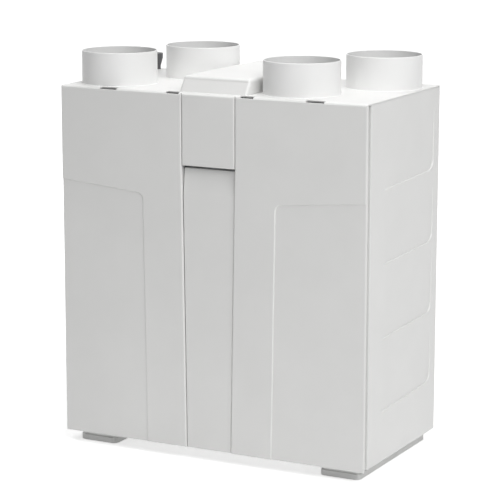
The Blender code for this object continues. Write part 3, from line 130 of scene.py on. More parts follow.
# Front panels, with heights above their bottom edge
STRIP_HALF_TOP = 0.0615
STRIP_HALF_BEND = 0.060
STRIP_HALF_BOTTOM = 0.052
STRIP_SHIFT = -0.003
STRIP_CLEARANCE = 0.001
UPPER_PANEL_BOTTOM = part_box("upper_centre_panel")[0].z - FRONT_Z
STRIP_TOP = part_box("filter_cover")[1].z - FRONT_Z
GRIP_HEIGHT = 0.054
STRIP_BEND = STRIP_TOP - GRIP_HEIGHT
PANEL_WALL = 0.0022
TOP_EDGE_RADIUS = 0.006
EDGE_RADIUS = 0.0035
CORNER_RADIUS = 0.0015
RECESS_DEPTH = 0.002
RECESS_SOFTNESS = 0.0012
RECESS_INNER_TOP = 0.1525
RECESS_INNER_BOTTOM = 0.145
RECESS_DROP = 0.006
RECESS_TOP = STRIP_BEND - RECESS_DROP
RECESS_RISE = 0.018
RECESS_CORNER_RADIUS = 0.014
RECESS_EDGES = (2, 3)
HOOK_SPANS = ((0.070, 0.100), (0.216, 0.256))
HOOK_SLOT = 0.0032
HOOK_SETBACK = 0.006
UPPER_PANEL_DROP = 0.001
TOP_EDGE = 2
LID_FRONT_EDGE = 0

# Filter cover
COVER_WALL = 0.0012
COVER_EDGE_RADIUS = 0.0014
COVER_RECESS_BOTTOM = 0.003
COVER_RECESS_BEND = 0.0045
COVER_RECESS_TOP = 0.013
COVER_FLANGE = 0.018
COVER_FLANGE_BOTTOM = 0.009
BEND_SOFTNESS = 0.0012

# Side panels
SIDE_FLANGE = 0.022
SIDE_SETBACK = 0.020
SIDE_FRONT_RADIUS = 0.003
LIP_INSET = 0.012
LIP_GAP = 0.0005
LIP_BACK = FRONT + SIDE_SETBACK - LIP_GAP
SIDE_REAR_RADIUS = 0.006
SIDE_WALL = 0.0022
SIDE_END_RADIUS = 0.001
FACET_COUNT = 4
FACET_LOWEST = 0.139
FACET_PITCH = 0.152
FACET_HEIGHT = 0.138
FACET_FRONT = 0.080
FACET_REAR_MARGIN = 0.033
FACET_DEPTH = 0.003
FACET_CORNER_RADIUS = 0.022
FACET_SOFTNESS = 0.0012
FACET_SLANT = 0.007
FACET_RUNOUT = 0.020
FACET_EDGES = (0, 1)

# Top
LID_CORNER_RADIUS = 0.006
LID_EDGE_RADIUS = 0.0015
LID_THICKNESS = 0.003
LID_WALL = 0.0012
SPIGOTS = ("front_left_spigot", "rear_left_spigot", "front_right_spigot", "rear_right_spigot")
SPIGOT_RADIUS = 0.079
SPIGOT_WALL = 0.0025
SPIGOT_FILLET = 0.002
HOUSING_CORNER_RADIUS = 0.006
HOUSING_EDGE_RADIUS = 0.008
HOUSING_LEAN = 0.016
HOUSING_WALL = 0.0025
GLAND_EDGE = 0.0008
GLAND_CUP_HEIGHT = 0.011
GLAND_SHOULDER_RADIUS = 0.0078
GLAND_SHOULDER_HEIGHT = 0.009
GLAND_NECK_RADIUS = 0.006
GLAND_BORE = 0.004
GLAND_STEPS = 48

# Foot rails
FOOT_CORNER_RADIUS = 0.012
FOOT_REAR_RADIUS = 0.003
FOOT_EDGE = 0.0015
TREAD_HEIGHT = 0.013
TREAD_STEP = 0.002

# Rear screws
SCREW_MARGIN = 0.034
SCREW_STEPS = 32
SCREW_PROFILE = (
    (0.0040, -0.0010),
    (0.0040, 0.0006),
    (0.0036, 0.0014),
    (0.0028, 0.0018),
    (0.0016, 0.0018),
    (0.0015, 0.0006),
)
SCREW_SPOTS = (
    (0.0, 0.0), (0.5, 0.0), (1.0, 0.0), (0.0, 0.5), (1.0, 0.5), (0.0, 1.0), (0.5, 1.0), (1.0, 1.0),
)


def new_material(name):
    """A node material, its tree and its main shader."""
    material = bpy.data.materials.new(name)
    material.use_nodes = True
    tree = material.node_tree
    return material, tree, tree.nodes["Principled BSDF"]


def texture(tree, kind, scale, stretch):
    """A noise or cell texture in the object's own metres."""
    coordinates = tree.nodes.new("ShaderNodeTexCoord")
    mapping = tree.nodes.new("ShaderNodeMapping")
    mapping.inputs["Scale"].default_value = stretch
    tree.links.new(coordinates.outputs["Object"], mapping.inputs["Vector"])
    node = tree.nodes.new(f"ShaderNodeTex{kind}")
    node.inputs["Scale"].default_value = scale
    if kind == "Noise":
        node.inputs["Detail"].default_value = NOISE_DETAIL
    tree.links.new(mapping.outputs["Vector"], node.inputs["Vector"])
    return node.outputs["Fac" if kind == "Noise" else "Distance"]


def blend_colours(tree, value, dark, light):
    """A colour that passes from dark to light as the value rises."""
    ramp = tree.nodes.new("ShaderNodeValToRGB")
    for stop, place, colour in zip(ramp.color_ramp.elements, (BLEND_LOW, BLEND_HIGH), (dark, light)):
        stop.position = place
        stop.color = (*colour, 1.0)
    tree.links.new(value, ramp.inputs["Fac"])
    return ramp.outputs["Color"]


def spread(tree, value, low, high):
    """The value, from 0 to 1, laid out between low and high."""
    node = tree.nodes.new("ShaderNodeMapRange")
    node.inputs["To Min"].default_value = low
    node.inputs["To Max"].default_value = high
    tree.links.new(value, node.inputs["Value"])
    return node.outputs["Result"]


def add_bump(tree, shader, height, distance):
    """Fine relief of the surface, as deep as the distance."""
    node = tree.nodes.new("ShaderNodeBump")
    node.inputs["Distance"].default_value = distance
    node.inputs["Strength"].default_value = 1.0
    tree.links.new(height, node.inputs["Height"])
    tree.links.new(node.outputs["Normal"], shader.inputs["Normal"])


def surface(
    name, dark, light, roughness, blotch, grain, depth, metallic=0.0, kind="Noise", stretch=(1.0, 1.0, 1.0)
):
    """A finish whose colour drifts over blotches and whose grain shows in its gloss and bump."""
    material, tree, shader = new_material(name)
    drift = texture(tree, "Noise", blotch, stretch)
    tree.links.new(blend_colours(tree, drift, dark, light), shader.inputs["Base Color"])
    grains = texture(tree, kind, grain, stretch)
    tree.links.new(spread(tree, grains, *roughness), shader.inputs["Roughness"])
    shader.inputs["Metallic"].default_value = metallic
    add_bump(tree, shader, grains, depth)
    return material


FINISHES = {
    "white_panel": surface(
        "satin_white_paint", (0.775, 0.775, 0.765), (0.80, 0.80, 0.79), (0.36, 0.46),
        blotch=9, grain=900, depth=0.00002,
    ),
    "white_plastic": surface(
        "white_moulding", (0.895, 0.895, 0.89), (0.915, 0.915, 0.91), (0.34, 0.44),
        blotch=14, grain=1500, depth=0.00002,
    ),
    "grey_plastic": surface(
        "grey_moulding", (0.10, 0.10, 0.105), (0.13, 0.13, 0.135), (0.42, 0.58),
        blotch=40, grain=1800, depth=0.00003,
    ),
    "foot_plastic": surface(
        "foot_moulding", (0.75, 0.75, 0.74), (0.79, 0.79, 0.78), (0.48, 0.62),
        blotch=30, grain=1200, depth=0.00004,
    ),
    "zinc_sheet": surface(
        "zinc_spangle", (0.50, 0.52, 0.53), (0.62, 0.64, 0.65), (0.26, 0.44),
        blotch=60, grain=90, depth=0.00002, metallic=0.9, kind="Voronoi",
    ),
    "steel": surface(
        "brushed_steel", (0.50, 0.50, 0.51), (0.58, 0.58, 0.59), (0.22, 0.36),
        blotch=60, grain=400, depth=0.00002, metallic=1.0, stretch=(0.05, 1.0, 1.0),
    ),
    "foam": surface(
        "closed_cell_foam", (0.030, 0.030, 0.032), (0.050, 0.050, 0.053), (0.85, 0.97),
        blotch=25, grain=420, depth=0.0002, kind="Voronoi",
    ),
    "rubber": surface(
        "soft_rubber", (0.022, 0.022, 0.022), (0.034, 0.034, 0.034), (0.68, 0.82),
        blotch=50, grain=900, depth=0.00004,
    ),
    "filter_card": surface(
        "grey_card", (0.60, 0.58, 0.52), (0.68, 0.66, 0.60), (0.78, 0.92),
        blotch=35, grain=700, depth=0.00005, stretch=(1.0, 1.0, 0.2),
    ),
    "filter_fleece": surface(
        "white_fleece", (0.76, 0.77, 0.75), (0.86, 0.87, 0.85), (0.90, 1.0),
        blotch=60, grain=800, depth=0.0002, stretch=(1.0, 1.0, 0.3),
    ),
    "exchanger_plastic": surface(
        "thin_plates", (0.62, 0.66, 0.69), (0.70, 0.74, 0.77), (0.26, 0.38),
        blotch=20, grain=300, depth=0.00003, stretch=(0.1, 1.0, 1.0),
    ),
    "fan_plastic": surface(
        "black_moulding", (0.030, 0.030, 0.033), (0.044, 0.044, 0.048), (0.40, 0.54),
        blotch=40, grain=1500, depth=0.00003,
    ),
    "board_green": surface(
        "circuit_board", (0.018, 0.10, 0.045), (0.030, 0.15, 0.07), (0.35, 0.5),
        blotch=200, grain=260, depth=0.00005, kind="Voronoi",
    ),
}


def slot_of(node):
    """The material slot that the record gives a node."""
    rows = frame["record"]["subparts"]
    return next(row["material_slot"] for row in rows if row["node"] == node)


for name, node_object in frame["nodes"].items():
    node_object.data.materials.clear()
    node_object.data.materials.append(FINISHES[slot_of(name)])


def rounded(corners, steps=ARC_STEPS):
    """A closed outline from (u, v, radius) corners, each rounded by an arc of its radius."""
    outline = []
    for i, (u, v, radius) in enumerate(corners):
        corner = Vector((u, v))
        if radius < TINY:
            outline.append((u, v))
            continue
        before = (Vector(corners[i - 1][:2]) - corner).normalized()
        after = (Vector(corners[(i + 1) % len(corners)][:2]) - corner).normalized()
        half = before.angle(after) / 2
        centre = corner + (before + after).normalized() * radius / math.sin(half)
        start = corner + before * radius / math.tan(half) - centre
        turn = start.angle_signed(corner + after * radius / math.tan(half) - centre)
        for step in range(steps + 1):
            spoke = Matrix.Rotation(-turn * step / steps, 2) @ start
            outline.append(tuple(centre + spoke))
    return outline


def inset(corners, shifts):
    """The corners of an anticlockwise outline with each edge moved inwards; edge i starts at corner i."""
    moved = []
    for i, (u, v, radius) in enumerate(corners):
        here = Vector((u, v))
        along_before = (here - Vector(corners[i - 1][:2])).normalized()
        along_after = (Vector(corners[(i + 1) % len(corners)][:2]) - here).normalized()
        inward_before = Vector((-along_before.y, along_before.x))
        inward_after = Vector((-along_after.y, along_after.x))
        bend = along_before.cross(along_after)
        place = here + inward_before * shifts[i - 1]
        if abs(bend) > TINY:
            rest = shifts[i] - shifts[i - 1] * inward_before.dot(inward_after)
            place += along_before * (rest / along_before.dot(inward_after))
        moved.append((place.x, place.y, max(radius - min(shifts[i - 1], shifts[i]), 0.0)))
    return moved


def circle(centre, radius, steps=ROUND_STEPS):
    turns = [2 * math.pi * i / steps for i in range(steps)]
    return [(centre[0] + radius * math.cos(a), centre[1] + radius * math.sin(a)) for a in turns]


def distance_to(points, line, closed=True):
    """How far each point lies from a line of straight pieces."""
    starts = np.array(line if closed else line[:-1])
    ends = np.array(line[1:] + line[:1] if closed else line[1:])
    along = ends - starts
    gaps = points[:, None, :] - starts[None, :, :]
    shares = np.clip((gaps * along).sum(2) / np.maximum((along**2).sum(1), TINY**2), 0.0, 1.0)
    return np.sqrt(((gaps - shares[:, :, None] * along) ** 2).sum(2)).min(1)


def inside(points, loop):
    """Whether each point lies inside a closed outline."""
    starts = np.array(loop)
    ends = np.array(loop[1:] + loop[:1])
    u, v = points[:, 0, None], points[:, 1, None]
    spans = (starts[:, 1] > v) != (ends[:, 1] > v)
    rise = np.where(starts[:, 1] == ends[:, 1], 1.0, ends[:, 1] - starts[:, 1])
    crossing = starts[:, 0] + (v - starts[:, 1]) / rise * (ends[:, 0] - starts[:, 0])
    return (spans & (u < crossing)).sum(1) % 2 == 1


def arc_drop(distance, radius):
    """How far a rounded edge falls away at a distance from its outline."""
    left = np.clip(radius - distance, 0.0, radius)
    return radius - np.sqrt(radius**2 - left**2)


def soft_step(value, width):
    """0 below -width, 1 above width and a smooth rise between."""
    share = np.clip((value / width + 1) / 2, 0.0, 1.0)
    return share * share * (3 - 2 * share)


def edge_rings(corners, radii):
    """Outlines inside an outline, closer together towards its edge, for a rounded edge of those radii."""
    rings = []
    for step in range(1, ARC_STEPS + 1):
        share = 1 - math.cos(math.pi / 2 * step / ARC_STEPS)
        rings.append(rounded(inset(corners, [radius * share for radius in radii])))
    return rings


def soft_rings(corners, edges, width):
    """Outlines on both sides of an outline's chosen edges, for a soft step there."""
    shares = [2 * step / SOFT_STEPS - 1 for step in range(SOFT_STEPS + 1)]
    rows = [[width * share if i in edges else 0.0 for i in range(len(corners))] for share in shares]
    return [rounded(inset(corners, row)) for row in rows]


def skin(boundary, place, contours=(), holes=()):
    """An open sheet over a flat outline; its mesh follows the contours, and place bends it into space."""
    points, edges = [], []
    for loop in (boundary, *holes, *contours):
        first = len(points)
        points += [Vector(point) for point in loop]
        edges += [(first + i, first + (i + 1) % len(loop)) for i in range(len(loop))]
    flat, _, faces, *_ = delaunay_2d_cdt(points, edges, [], 0, TINY)
    spots = np.array([tuple(point) for point in flat])
    middles = np.array([spots[list(face)].mean(0) for face in faces])
    kept = inside(middles, boundary)
    for hole in holes:
        kept &= ~inside(middles, hole)
    shape = bmesh.new()
    corners = [shape.verts.new(point) for point in place(spots)]
    for face, keep in zip(faces, kept):
        if keep:
            shape.faces.new([corners[i] for i in face])
    bmesh.ops.delete(shape, geom=[v for v in shape.verts if not v.link_faces], context="VERTS")
    return shape


def fold_back(shape, move, chosen=lambda edge: True):
    """Adds a flange along the sheet's open edges; move gives where each point of its new edge goes."""
    rim = [edge for edge in shape.edges if edge.is_boundary and chosen(edge)]
    made = bmesh.ops.extrude_edge_only(shape, edges=rim)["geom"]
    for corner in made:
        if isinstance(corner, bmesh.types.BMVert):
            corner.co = move(corner.co)


def stack(corners, levels):
    """A closed solid through outlines at several heights; each level is an inset and a height."""
    shape = bmesh.new()
    rows = []
    for shift, height in levels:
        outline = rounded(inset(corners, [shift] * len(corners)))
        rows.append([shape.verts.new((u, v, height)) for u, v in outline])
    for row, after in zip(rows, rows[1:]):
        for i in range(len(row)):
            j = (i + 1) % len(row)
            shape.faces.new((row[i], row[j], after[j], after[i]))
    shape.faces.new(rows[0])
    shape.faces.new(rows[-1])
    return shape


def lathe(profile, steps=ROUND_STEPS, centre=(0.0, 0.0), closed=True):
    """A ring turned about an upright axis from (radius, height) points."""
    shape = bmesh.new()
    rows = []
    for radius, height in profile:
        rows.append([shape.verts.new((u, v, height)) for u, v in circle(centre, radius, steps)])
    pairs = list(zip(rows, rows[1:]))
    if closed:
        pairs.append((rows[-1], rows[0]))
    for row, after in pairs:
        for i in range(steps):
            j = (i + 1) % steps
            shape.faces.new((row[i], row[j], after[j], after[i]))
    return shape


def merge(shapes):
    """Several shapes as one."""
    whole = bmesh.new()
    for shape in shapes:
        mesh = bpy.data.meshes.new("share")
        shape.to_mesh(mesh)
        shape.free()
        whole.from_mesh(mesh)
        bpy.data.meshes.remove(mesh)
    return whole


def add(name, shape, slot, wall=0.0):
    """Links a shape as a piece with the finish of a slot; an open sheet gets a wall on its inner side."""
    bmesh.ops.recalc_face_normals(shape, faces=shape.faces)
    mesh = bpy.data.meshes.new(name)
    shape.to_mesh(mesh)
    shape.free()
    mesh.shade_smooth()
    mesh.set_sharp_from_angle(angle=SHARP_ANGLE)
    mesh.materials.append(FINISHES[slot])
    piece = bpy.data.objects.new(name, mesh)
    bpy.context.scene.collection.objects.link(piece)
    if wall:
        solid = piece.modifiers.new("wall", "SOLIDIFY")
        solid.thickness = wall
        solid.offset = -1.0
        solid.use_even_offset = True
    normals = piece.modifiers.new("normals", "WEIGHTED_NORMAL")
    normals.keep_sharp = True
    return piece


def mirrored(shape):
    """A copy of the shape, mirrored left to right."""
    copy = shape.copy()
    bmesh.ops.scale(copy, vec=(-1.0, 1.0, 1.0), verts=copy.verts)
    bmesh.ops.reverse_faces(copy, faces=copy.faces)
    return copy


def strip_half(height):
    """Half the width of the opening for the filter cover, at a height above the front's bottom edge."""
    heights = (0.0, STRIP_BEND, UPPER_PANEL_BOTTOM)
    return float(np.interp(height, heights, (STRIP_HALF_BOTTOM, STRIP_HALF_BEND, STRIP_HALF_TOP)))


def slotted(corners, spans, edge, depth):
    """The corners with slots cut into the level edge that starts at corner number edge."""
    level = corners[edge][1]
    slots = []
    for start, end in spans:
        floor_level = level + depth
        spots = [(start, level), (start, floor_level), (end, floor_level), (end, level)]
        slots += [(u, v, 0.0) for u, v in spots]
    return corners[:edge + 1] + slots + corners[edge + 1:]


def panel_sheet(corners, radii, recess=(), hooks=()):
    """A moulded front panel with rounded edges, returns, a recess that runs out and slots for hooks."""
    boundary = rounded(corners)
    top = max(v for _, v, _ in corners)
    slot_floor = top - HOOK_SLOT
    contours = edge_rings(corners, radii)
    if recess:
        contours += soft_rings(recess, RECESS_EDGES, RECESS_SOFTNESS)
        recess_line = rounded(recess)

    def place(points):
        fall = arc_drop(distance_to(points, boundary), EDGE_RADIUS)
        fall = np.maximum(fall, arc_drop(top - points[:, 1], TOP_EDGE_RADIUS))
        if recess:
            side = np.where(inside(points, recess_line), 1.0, -1.0)
            fall += RECESS_DEPTH * soft_step(side * distance_to(points, recess_line), RECESS_SOFTNESS)
        return np.column_stack((points[:, 0], FRONT + fall, points[:, 1]))

    shape = skin(rounded(slotted(corners, hooks, TOP_EDGE, -HOOK_SLOT)), place, contours)
    fold_back(
        shape,
        lambda spot: (spot.x, RETURN_BACK, spot.z),
        lambda edge: any(abs(corner.co.z - slot_floor) > TINY for corner in edge.verts),
    )
    return shape


def front_panel(shift):
    """The right front panel, with the lines that face the filter cover shifted outwards."""
    middle = FRONT_Z + UPPER_PANEL_BOTTOM
    bend = FRONT_Z + STRIP_BEND
    corners = [
        (STRIP_HALF_BOTTOM + shift, FRONT_Z, CORNER_RADIUS),
        (SIDE, FRONT_Z, CORNER_RADIUS),
        (SIDE, TOP_Z, CORNER_RADIUS),
        (STRIP_HALF_TOP + shift, TOP_Z, CORNER_RADIUS),
        (STRIP_HALF_TOP + shift, middle, 0.0),
        (STRIP_HALF_BEND + shift, bend, 0.0),
    ]
    radii = [EDGE_RADIUS, EDGE_RADIUS, TOP_EDGE_RADIUS, EDGE_RADIUS, EDGE_RADIUS, EDGE_RADIUS]
    below = FRONT_Z - OVERSHOOT
    beyond = SIDE + OVERSHOOT
    recess_top = FRONT_Z + RECESS_TOP
    recess = [
        (RECESS_INNER_BOTTOM + shift, below, 0.0),
        (beyond, below, 0.0),
        (beyond, recess_top + RECESS_RISE, 0.0),
        (RECESS_INNER_TOP + shift, recess_top, RECESS_CORNER_RADIUS),
    ]
    hooks = [(end, start) for start, end in HOOK_SPANS[::-1]]
    shape = panel_sheet(corners, radii, recess, hooks)
    lip = SIDE - LIP_INSET
    fold_back(
        shape,
        lambda spot: (lip, spot.y, spot.z),
        lambda edge: all(abs(corner.co.x - SIDE) < TINY for corner in edge.verts),
    )
    fold_back(
        shape,
        lambda spot: (lip, LIP_BACK, spot.z),
        lambda edge: all(abs(corner.co.x - lip) < TINY for corner in edge.verts),
    )
    inner = STRIP_HALF_TOP + shift

    def beside_grip(spot):
        return spot.x < inner + TINY and bend - TINY < spot.z < middle + TINY

    fold_back(
        shape,
        lambda spot: (spot.x, GRIP_RETURN_BACK, spot.z),
        lambda edge: all(beside_grip(corner.co) for corner in edge.verts),
    )
    return shape


def front_panels():
    right = front_panel(STRIP_SHIFT)
    left = mirrored(front_panel(-STRIP_SHIFT))
    for side, shape in (("right", right), ("left", left)):
        node = f"{side}_front_panel"
        place_piece(add(f"{side}_front_moulding", shape, "white_panel", PANEL_WALL), "cabinet", node)


def upper_panel():
    half = STRIP_HALF_TOP - STRIP_CLEARANCE
    bottom = FRONT_Z + UPPER_PANEL_BOTTOM
    top = TOP_Z - UPPER_PANEL_DROP
    spots = [(-half, bottom), (half, bottom), (half, top), (-half, top)]
    corners = [(u + STRIP_SHIFT, v, CORNER_RADIUS) for u, v in spots]
    radii = [EDGE_RADIUS, EDGE_RADIUS, TOP_EDGE_RADIUS, EDGE_RADIUS]
    piece = add("upper_centre_moulding", panel_sheet(corners, radii), "white_panel", PANEL_WALL)
    place_piece(piece, "cabinet", "upper_centre_panel")


def cover_face(heights):
    """Where the filter cover's face lies at heights above the front's bottom edge, with a soft bend."""
    lower = (COVER_RECESS_BEND - COVER_RECESS_BOTTOM) / STRIP_BEND
    upper = (COVER_RECESS_TOP - COVER_RECESS_BEND) / (STRIP_TOP - STRIP_BEND)
    past = BEND_SOFTNESS * np.log1p(np.exp((heights - STRIP_BEND) / BEND_SOFTNESS))
    return FRONT + COVER_RECESS_BOTTOM + lower * heights + (upper - lower) * past


def filter_cover():
    """The tall strip that hides the filters, bent back at its top into a finger grip, open below."""
    bottom = STRIP_CLEARANCE / 2
    heights = (bottom, STRIP_BEND, STRIP_TOP)
    low, mid, top = (strip_half(height) - STRIP_CLEARANCE for height in heights)
    right_side = [(low, heights[0], 0.0), (mid, heights[1], 0.0), (top, heights[2], CORNER_RADIUS)]
    corners = right_side + [(-u, v, r) for u, v, r in right_side[::-1]]
    boundary = rounded(corners)
    contours = edge_rings(corners, [COVER_EDGE_RADIUS] * len(corners))
    for step in range(-BEND_LINES, BEND_LINES + 1):
        level = STRIP_BEND + step * BEND_SOFTNESS
        contours.append([(-mid, level), (mid, level)])

    def place(points):
        fall = arc_drop(distance_to(points, boundary), COVER_EDGE_RADIUS)
        places = (points[:, 0] + STRIP_SHIFT, cover_face(points[:, 1]) + fall, FRONT_Z + points[:, 1])
        return np.column_stack(places)

    def flange_end(spot):
        faces = cover_face(np.array(heights))
        ends = (faces[0] + COVER_FLANGE_BOTTOM, faces[1] + COVER_FLANGE, PLATE_FRONT - STRIP_CLEARANCE)
        return spot.x, np.interp(spot.z - FRONT_Z, heights, ends), spot.z

    shape = skin(boundary, place, contours)
    floor_level = FRONT_Z + bottom + TINY
    fold_back(shape, flange_end, lambda edge: max(v.co.z for v in edge.verts) > floor_level)
    place_piece(add("filter_cover_strip", shape, "white_panel", COVER_WALL), "filter_cover", "filter_cover")


def side_panels():
    """Bent shells with four slanted recesses, each deepest along its lower edge."""
    tip = SIDE - SIDE_FLANGE
    start = FRONT + SIDE_SETBACK
    turn = [
        (tip, start, 0.0),
        (SIDE, start, SIDE_FRONT_RADIUS),
        (SIDE, REAR, SIDE_REAR_RADIUS),
        (tip, REAR, 0.0),
    ]
    plan = np.array(rounded(turn))
    runs = np.linalg.norm(np.diff(plan, axis=0), axis=1)
    lengths = np.concatenate(([0.0], np.cumsum(runs)))
    slopes = np.diff(plan, axis=0) / runs[:, None]
    slopes = np.vstack((slopes[:1], (slopes[1:] + slopes[:-1]) / 2, slopes[-1:]))
    outward = np.column_stack((slopes[:, 1], -slopes[:, 0])) / np.linalg.norm(slopes, axis=1)[:, None]
    flat_start = lengths[ARC_STEPS + 1] - (start + SIDE_FRONT_RADIUS)
    bottom, top = (corner.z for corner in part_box("right_side_panel"))
    corners = [(0.0, bottom, 0.0), (lengths[-1], bottom, 0.0), (lengths[-1], top, 0.0), (0.0, top, 0.0)]
    contours = edge_rings(corners, [SIDE_END_RADIUS, 0.0, SIDE_END_RADIUS, 0.0])
    contours += [[(length, bottom), (length, top)] for length in lengths[1:-1]]
    facets = []
    rear = flat_start + REAR - FACET_REAR_MARGIN
    run = REAR - FACET_REAR_MARGIN - (FRONT + FACET_FRONT)
    for i in range(FACET_COUNT):
        level = FACET_LOWEST + i * FACET_PITCH
        facet = [
            (rear - run, level - FACET_SLANT, 0.0),
            (rear, level, FACET_CORNER_RADIUS),
            (rear, level + FACET_HEIGHT, 0.0),
            (rear - run, level + FACET_HEIGHT, 0.0),
        ]
        facets.append((level, facet))
        contours += soft_rings(facet, FACET_EDGES, FACET_SOFTNESS)
        runout_end = rear - run + FACET_RUNOUT
        contours.append([(runout_end, level - FACET_SLANT), (runout_end, level)])

    def place(points):
        fall = arc_drop(np.minimum(points[:, 1] - bottom, top - points[:, 1]), SIDE_END_RADIUS)
        for level, facet in facets:
            line = rounded(facet)
            ahead = np.clip((points[:, 0] - (rear - run)) / FACET_RUNOUT, 0.0, 1.0)
            share = np.clip(1.0 - (points[:, 1] - level) / FACET_HEIGHT, 0.0, 1.0) * ahead
            side = np.where(inside(points, line), 1.0, -1.0)
            edge = soft_step(side * distance_to(points, line[:-1], closed=False), FACET_SOFTNESS)
            fall += FACET_DEPTH * share * edge
        spots = [np.interp(points[:, 0], lengths, plan[:, i]) for i in (0, 1)]
        facing = [np.interp(points[:, 0], lengths, outward[:, i]) for i in (0, 1)]
        return np.column_stack((spots[0] - facing[0] * fall, spots[1] - facing[1] * fall, points[:, 1]))

    right = skin(rounded(corners), place, contours)
    left = mirrored(right)
    for side, shape in (("right", right), ("left", left)):
        node = f"{side}_side_panel"
        place_piece(add(f"{side}_side_shell", shape, "white_panel", SIDE_WALL), "cabinet", node)


def middle_of(node):
    low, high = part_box(node)
    return (low + high) / 2


def top_cover():
    """A flat lid with a soft edge and holes for the spigots and the gland."""
    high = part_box("top_cover")[1]
    front = RETURN_BACK + SEAT_GAP
    spots = [(-SIDE, front), (SIDE, front), (SIDE, REAR), (-SIDE, REAR)]
    corners = [(u, v, LID_CORNER_RADIUS) for u, v in spots]
    boundary = rounded(corners)
    holes = [circle(middle_of(node)[:2], SPIGOT_RADIUS + SEAT_GAP) for node in SPIGOTS]
    holes.append(circle(middle_of("cable_gland")[:2], GLAND_NECK_RADIUS + SEAT_GAP))

    def place(points):
        fall = arc_drop(distance_to(points, boundary), LID_EDGE_RADIUS)
        return np.column_stack((points[:, 0], points[:, 1], high.z - fall))

    hooks = [(-end, -start) for start, end in HOOK_SPANS[::-1]] + list(HOOK_SPANS)
    outline = rounded(slotted(corners, hooks, LID_FRONT_EDGE, HOOK_SETBACK))
    shape = skin(outline, place, edge_rings(corners, [LID_EDGE_RADIUS] * len(corners)), holes)
    fold_back(shape, lambda spot: (spot.x, spot.y, high.z - LID_THICKNESS))
    place_piece(add("top_lid", shape, "white_panel", LID_WALL), "cabinet", "top_cover")


def arc_points(centre, radius, start, end, steps=ARC_STEPS):
    """Points of an arc about a (radius, height) centre, between two angles in degrees."""
    turns = [math.radians(start + (end - start) * i / steps) for i in range(steps + 1)]
    return [(centre[0] + radius * math.cos(a), centre[1] + radius * math.sin(a)) for a in turns]


def spigots():
    """Tubes with a rounded rim, and a small fillet where they leave the lid."""
    for node in SPIGOTS:
        low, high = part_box(node)
        inner = SPIGOT_RADIUS - SPIGOT_WALL
        rim = SPIGOT_WALL / 2
        profile = arc_points((inner + rim, high.z - rim), rim, 180, 0, 2 * ARC_STEPS)
        fillet = (SPIGOT_RADIUS + SPIGOT_FILLET, TOP_Z + SPIGOT_FILLET)
        profile += arc_points(fillet, SPIGOT_FILLET, 180, 270)
        profile += [(SPIGOT_RADIUS, TOP_Z - LID_THICKNESS), (SPIGOT_RADIUS, low.z), (inner, low.z)]
        shape = lathe(profile, centre=middle_of(node)[:2])
        place_piece(add(node.replace("spigot", "duct_collar"), shape, "white_plastic"), "cabinet", node)


def housing():
    """A shallow cover on the lid, with soft edges and a front that leans back."""
    low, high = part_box("connection_housing")
    front = low.y + HOUSING_LEAN
    spots = [(low.x, front), (high.x, front), (high.x, high.y), (low.x, high.y)]
    corners = [(u, v, HOUSING_CORNER_RADIUS) for u, v in spots]
    boundary = rounded(corners, 2 * ARC_STEPS)

    def place(points):
        fall = arc_drop(distance_to(points, boundary), HOUSING_EDGE_RADIUS)
        return np.column_stack((points[:, 0], points[:, 1], high.z - fall))

    shape = skin(boundary, place, edge_rings(corners, [HOUSING_EDGE_RADIUS] * len(corners)))
    widen = (high.y - low.y) / (high.y - low.y - HOUSING_LEAN)
    fold_back(shape, lambda spot: (spot.x, high.y - (high.y - spot.y) * widen, low.z))
    place_piece(add("connection_cover", shape, "white_panel", HOUSING_WALL), "cabinet", "connection_housing")


def feet():
    """Rails whose upper part is set back above a wider tread."""
    for side in ("left", "right"):
        low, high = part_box(f"{side}_foot_rail")
        outline = [(low.x, low.y), (high.x, low.y), (high.x, high.y), (low.x, high.y)]
        radii = (FOOT_CORNER_RADIUS, FOOT_CORNER_RADIUS, FOOT_REAR_RADIUS, FOOT_REAR_RADIUS)
        corners = [(u, v, r) for (u, v), r in zip(outline, radii)]
        edge = FOOT_EDGE
        levels = [(edge, 0.0), (edge / 3, edge / 3), (0.0, edge), (0.0, TREAD_HEIGHT - edge)]
        levels += [(edge / 3, TREAD_HEIGHT - edge / 3), (edge, TREAD_HEIGHT)]
        levels += [(TREAD_STEP, TREAD_HEIGHT), (TREAD_STEP, high.z)]
        piece = add(f"{side}_foot", stack(corners, levels), "foot_plastic")
        place_piece(piece, "cabinet", f"{side}_foot_rail")


def gland():
    """A flared cable gland with a cup."""
    low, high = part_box("cable_gland")
    top = high.z
    cup = (high.x - low.x) / 2
    profile = [
        (GLAND_BORE, top - GLAND_EDGE),
        (GLAND_BORE + GLAND_EDGE, top),
        (cup - GLAND_EDGE, top),
        (cup, top - GLAND_EDGE),
        (cup - GLAND_EDGE / 2, top - GLAND_CUP_HEIGHT),
        (GLAND_SHOULDER_RADIUS + GLAND_EDGE, TOP_Z + GLAND_SHOULDER_HEIGHT + GLAND_EDGE),
        (GLAND_SHOULDER_RADIUS, TOP_Z + GLAND_SHOULDER_HEIGHT),
        (GLAND_SHOULDER_RADIUS, TOP_Z + SEAT_GAP),
        (GLAND_NECK_RADIUS, TOP_Z + SEAT_GAP),
        (GLAND_NECK_RADIUS, low.z),
        (GLAND_BORE, low.z),
    ]
    shape = lathe(profile, GLAND_STEPS, middle_of("cable_gland")[:2])
    place_piece(add("flared_gland", shape, "grey_plastic"), "cabinet", "cable_gland")


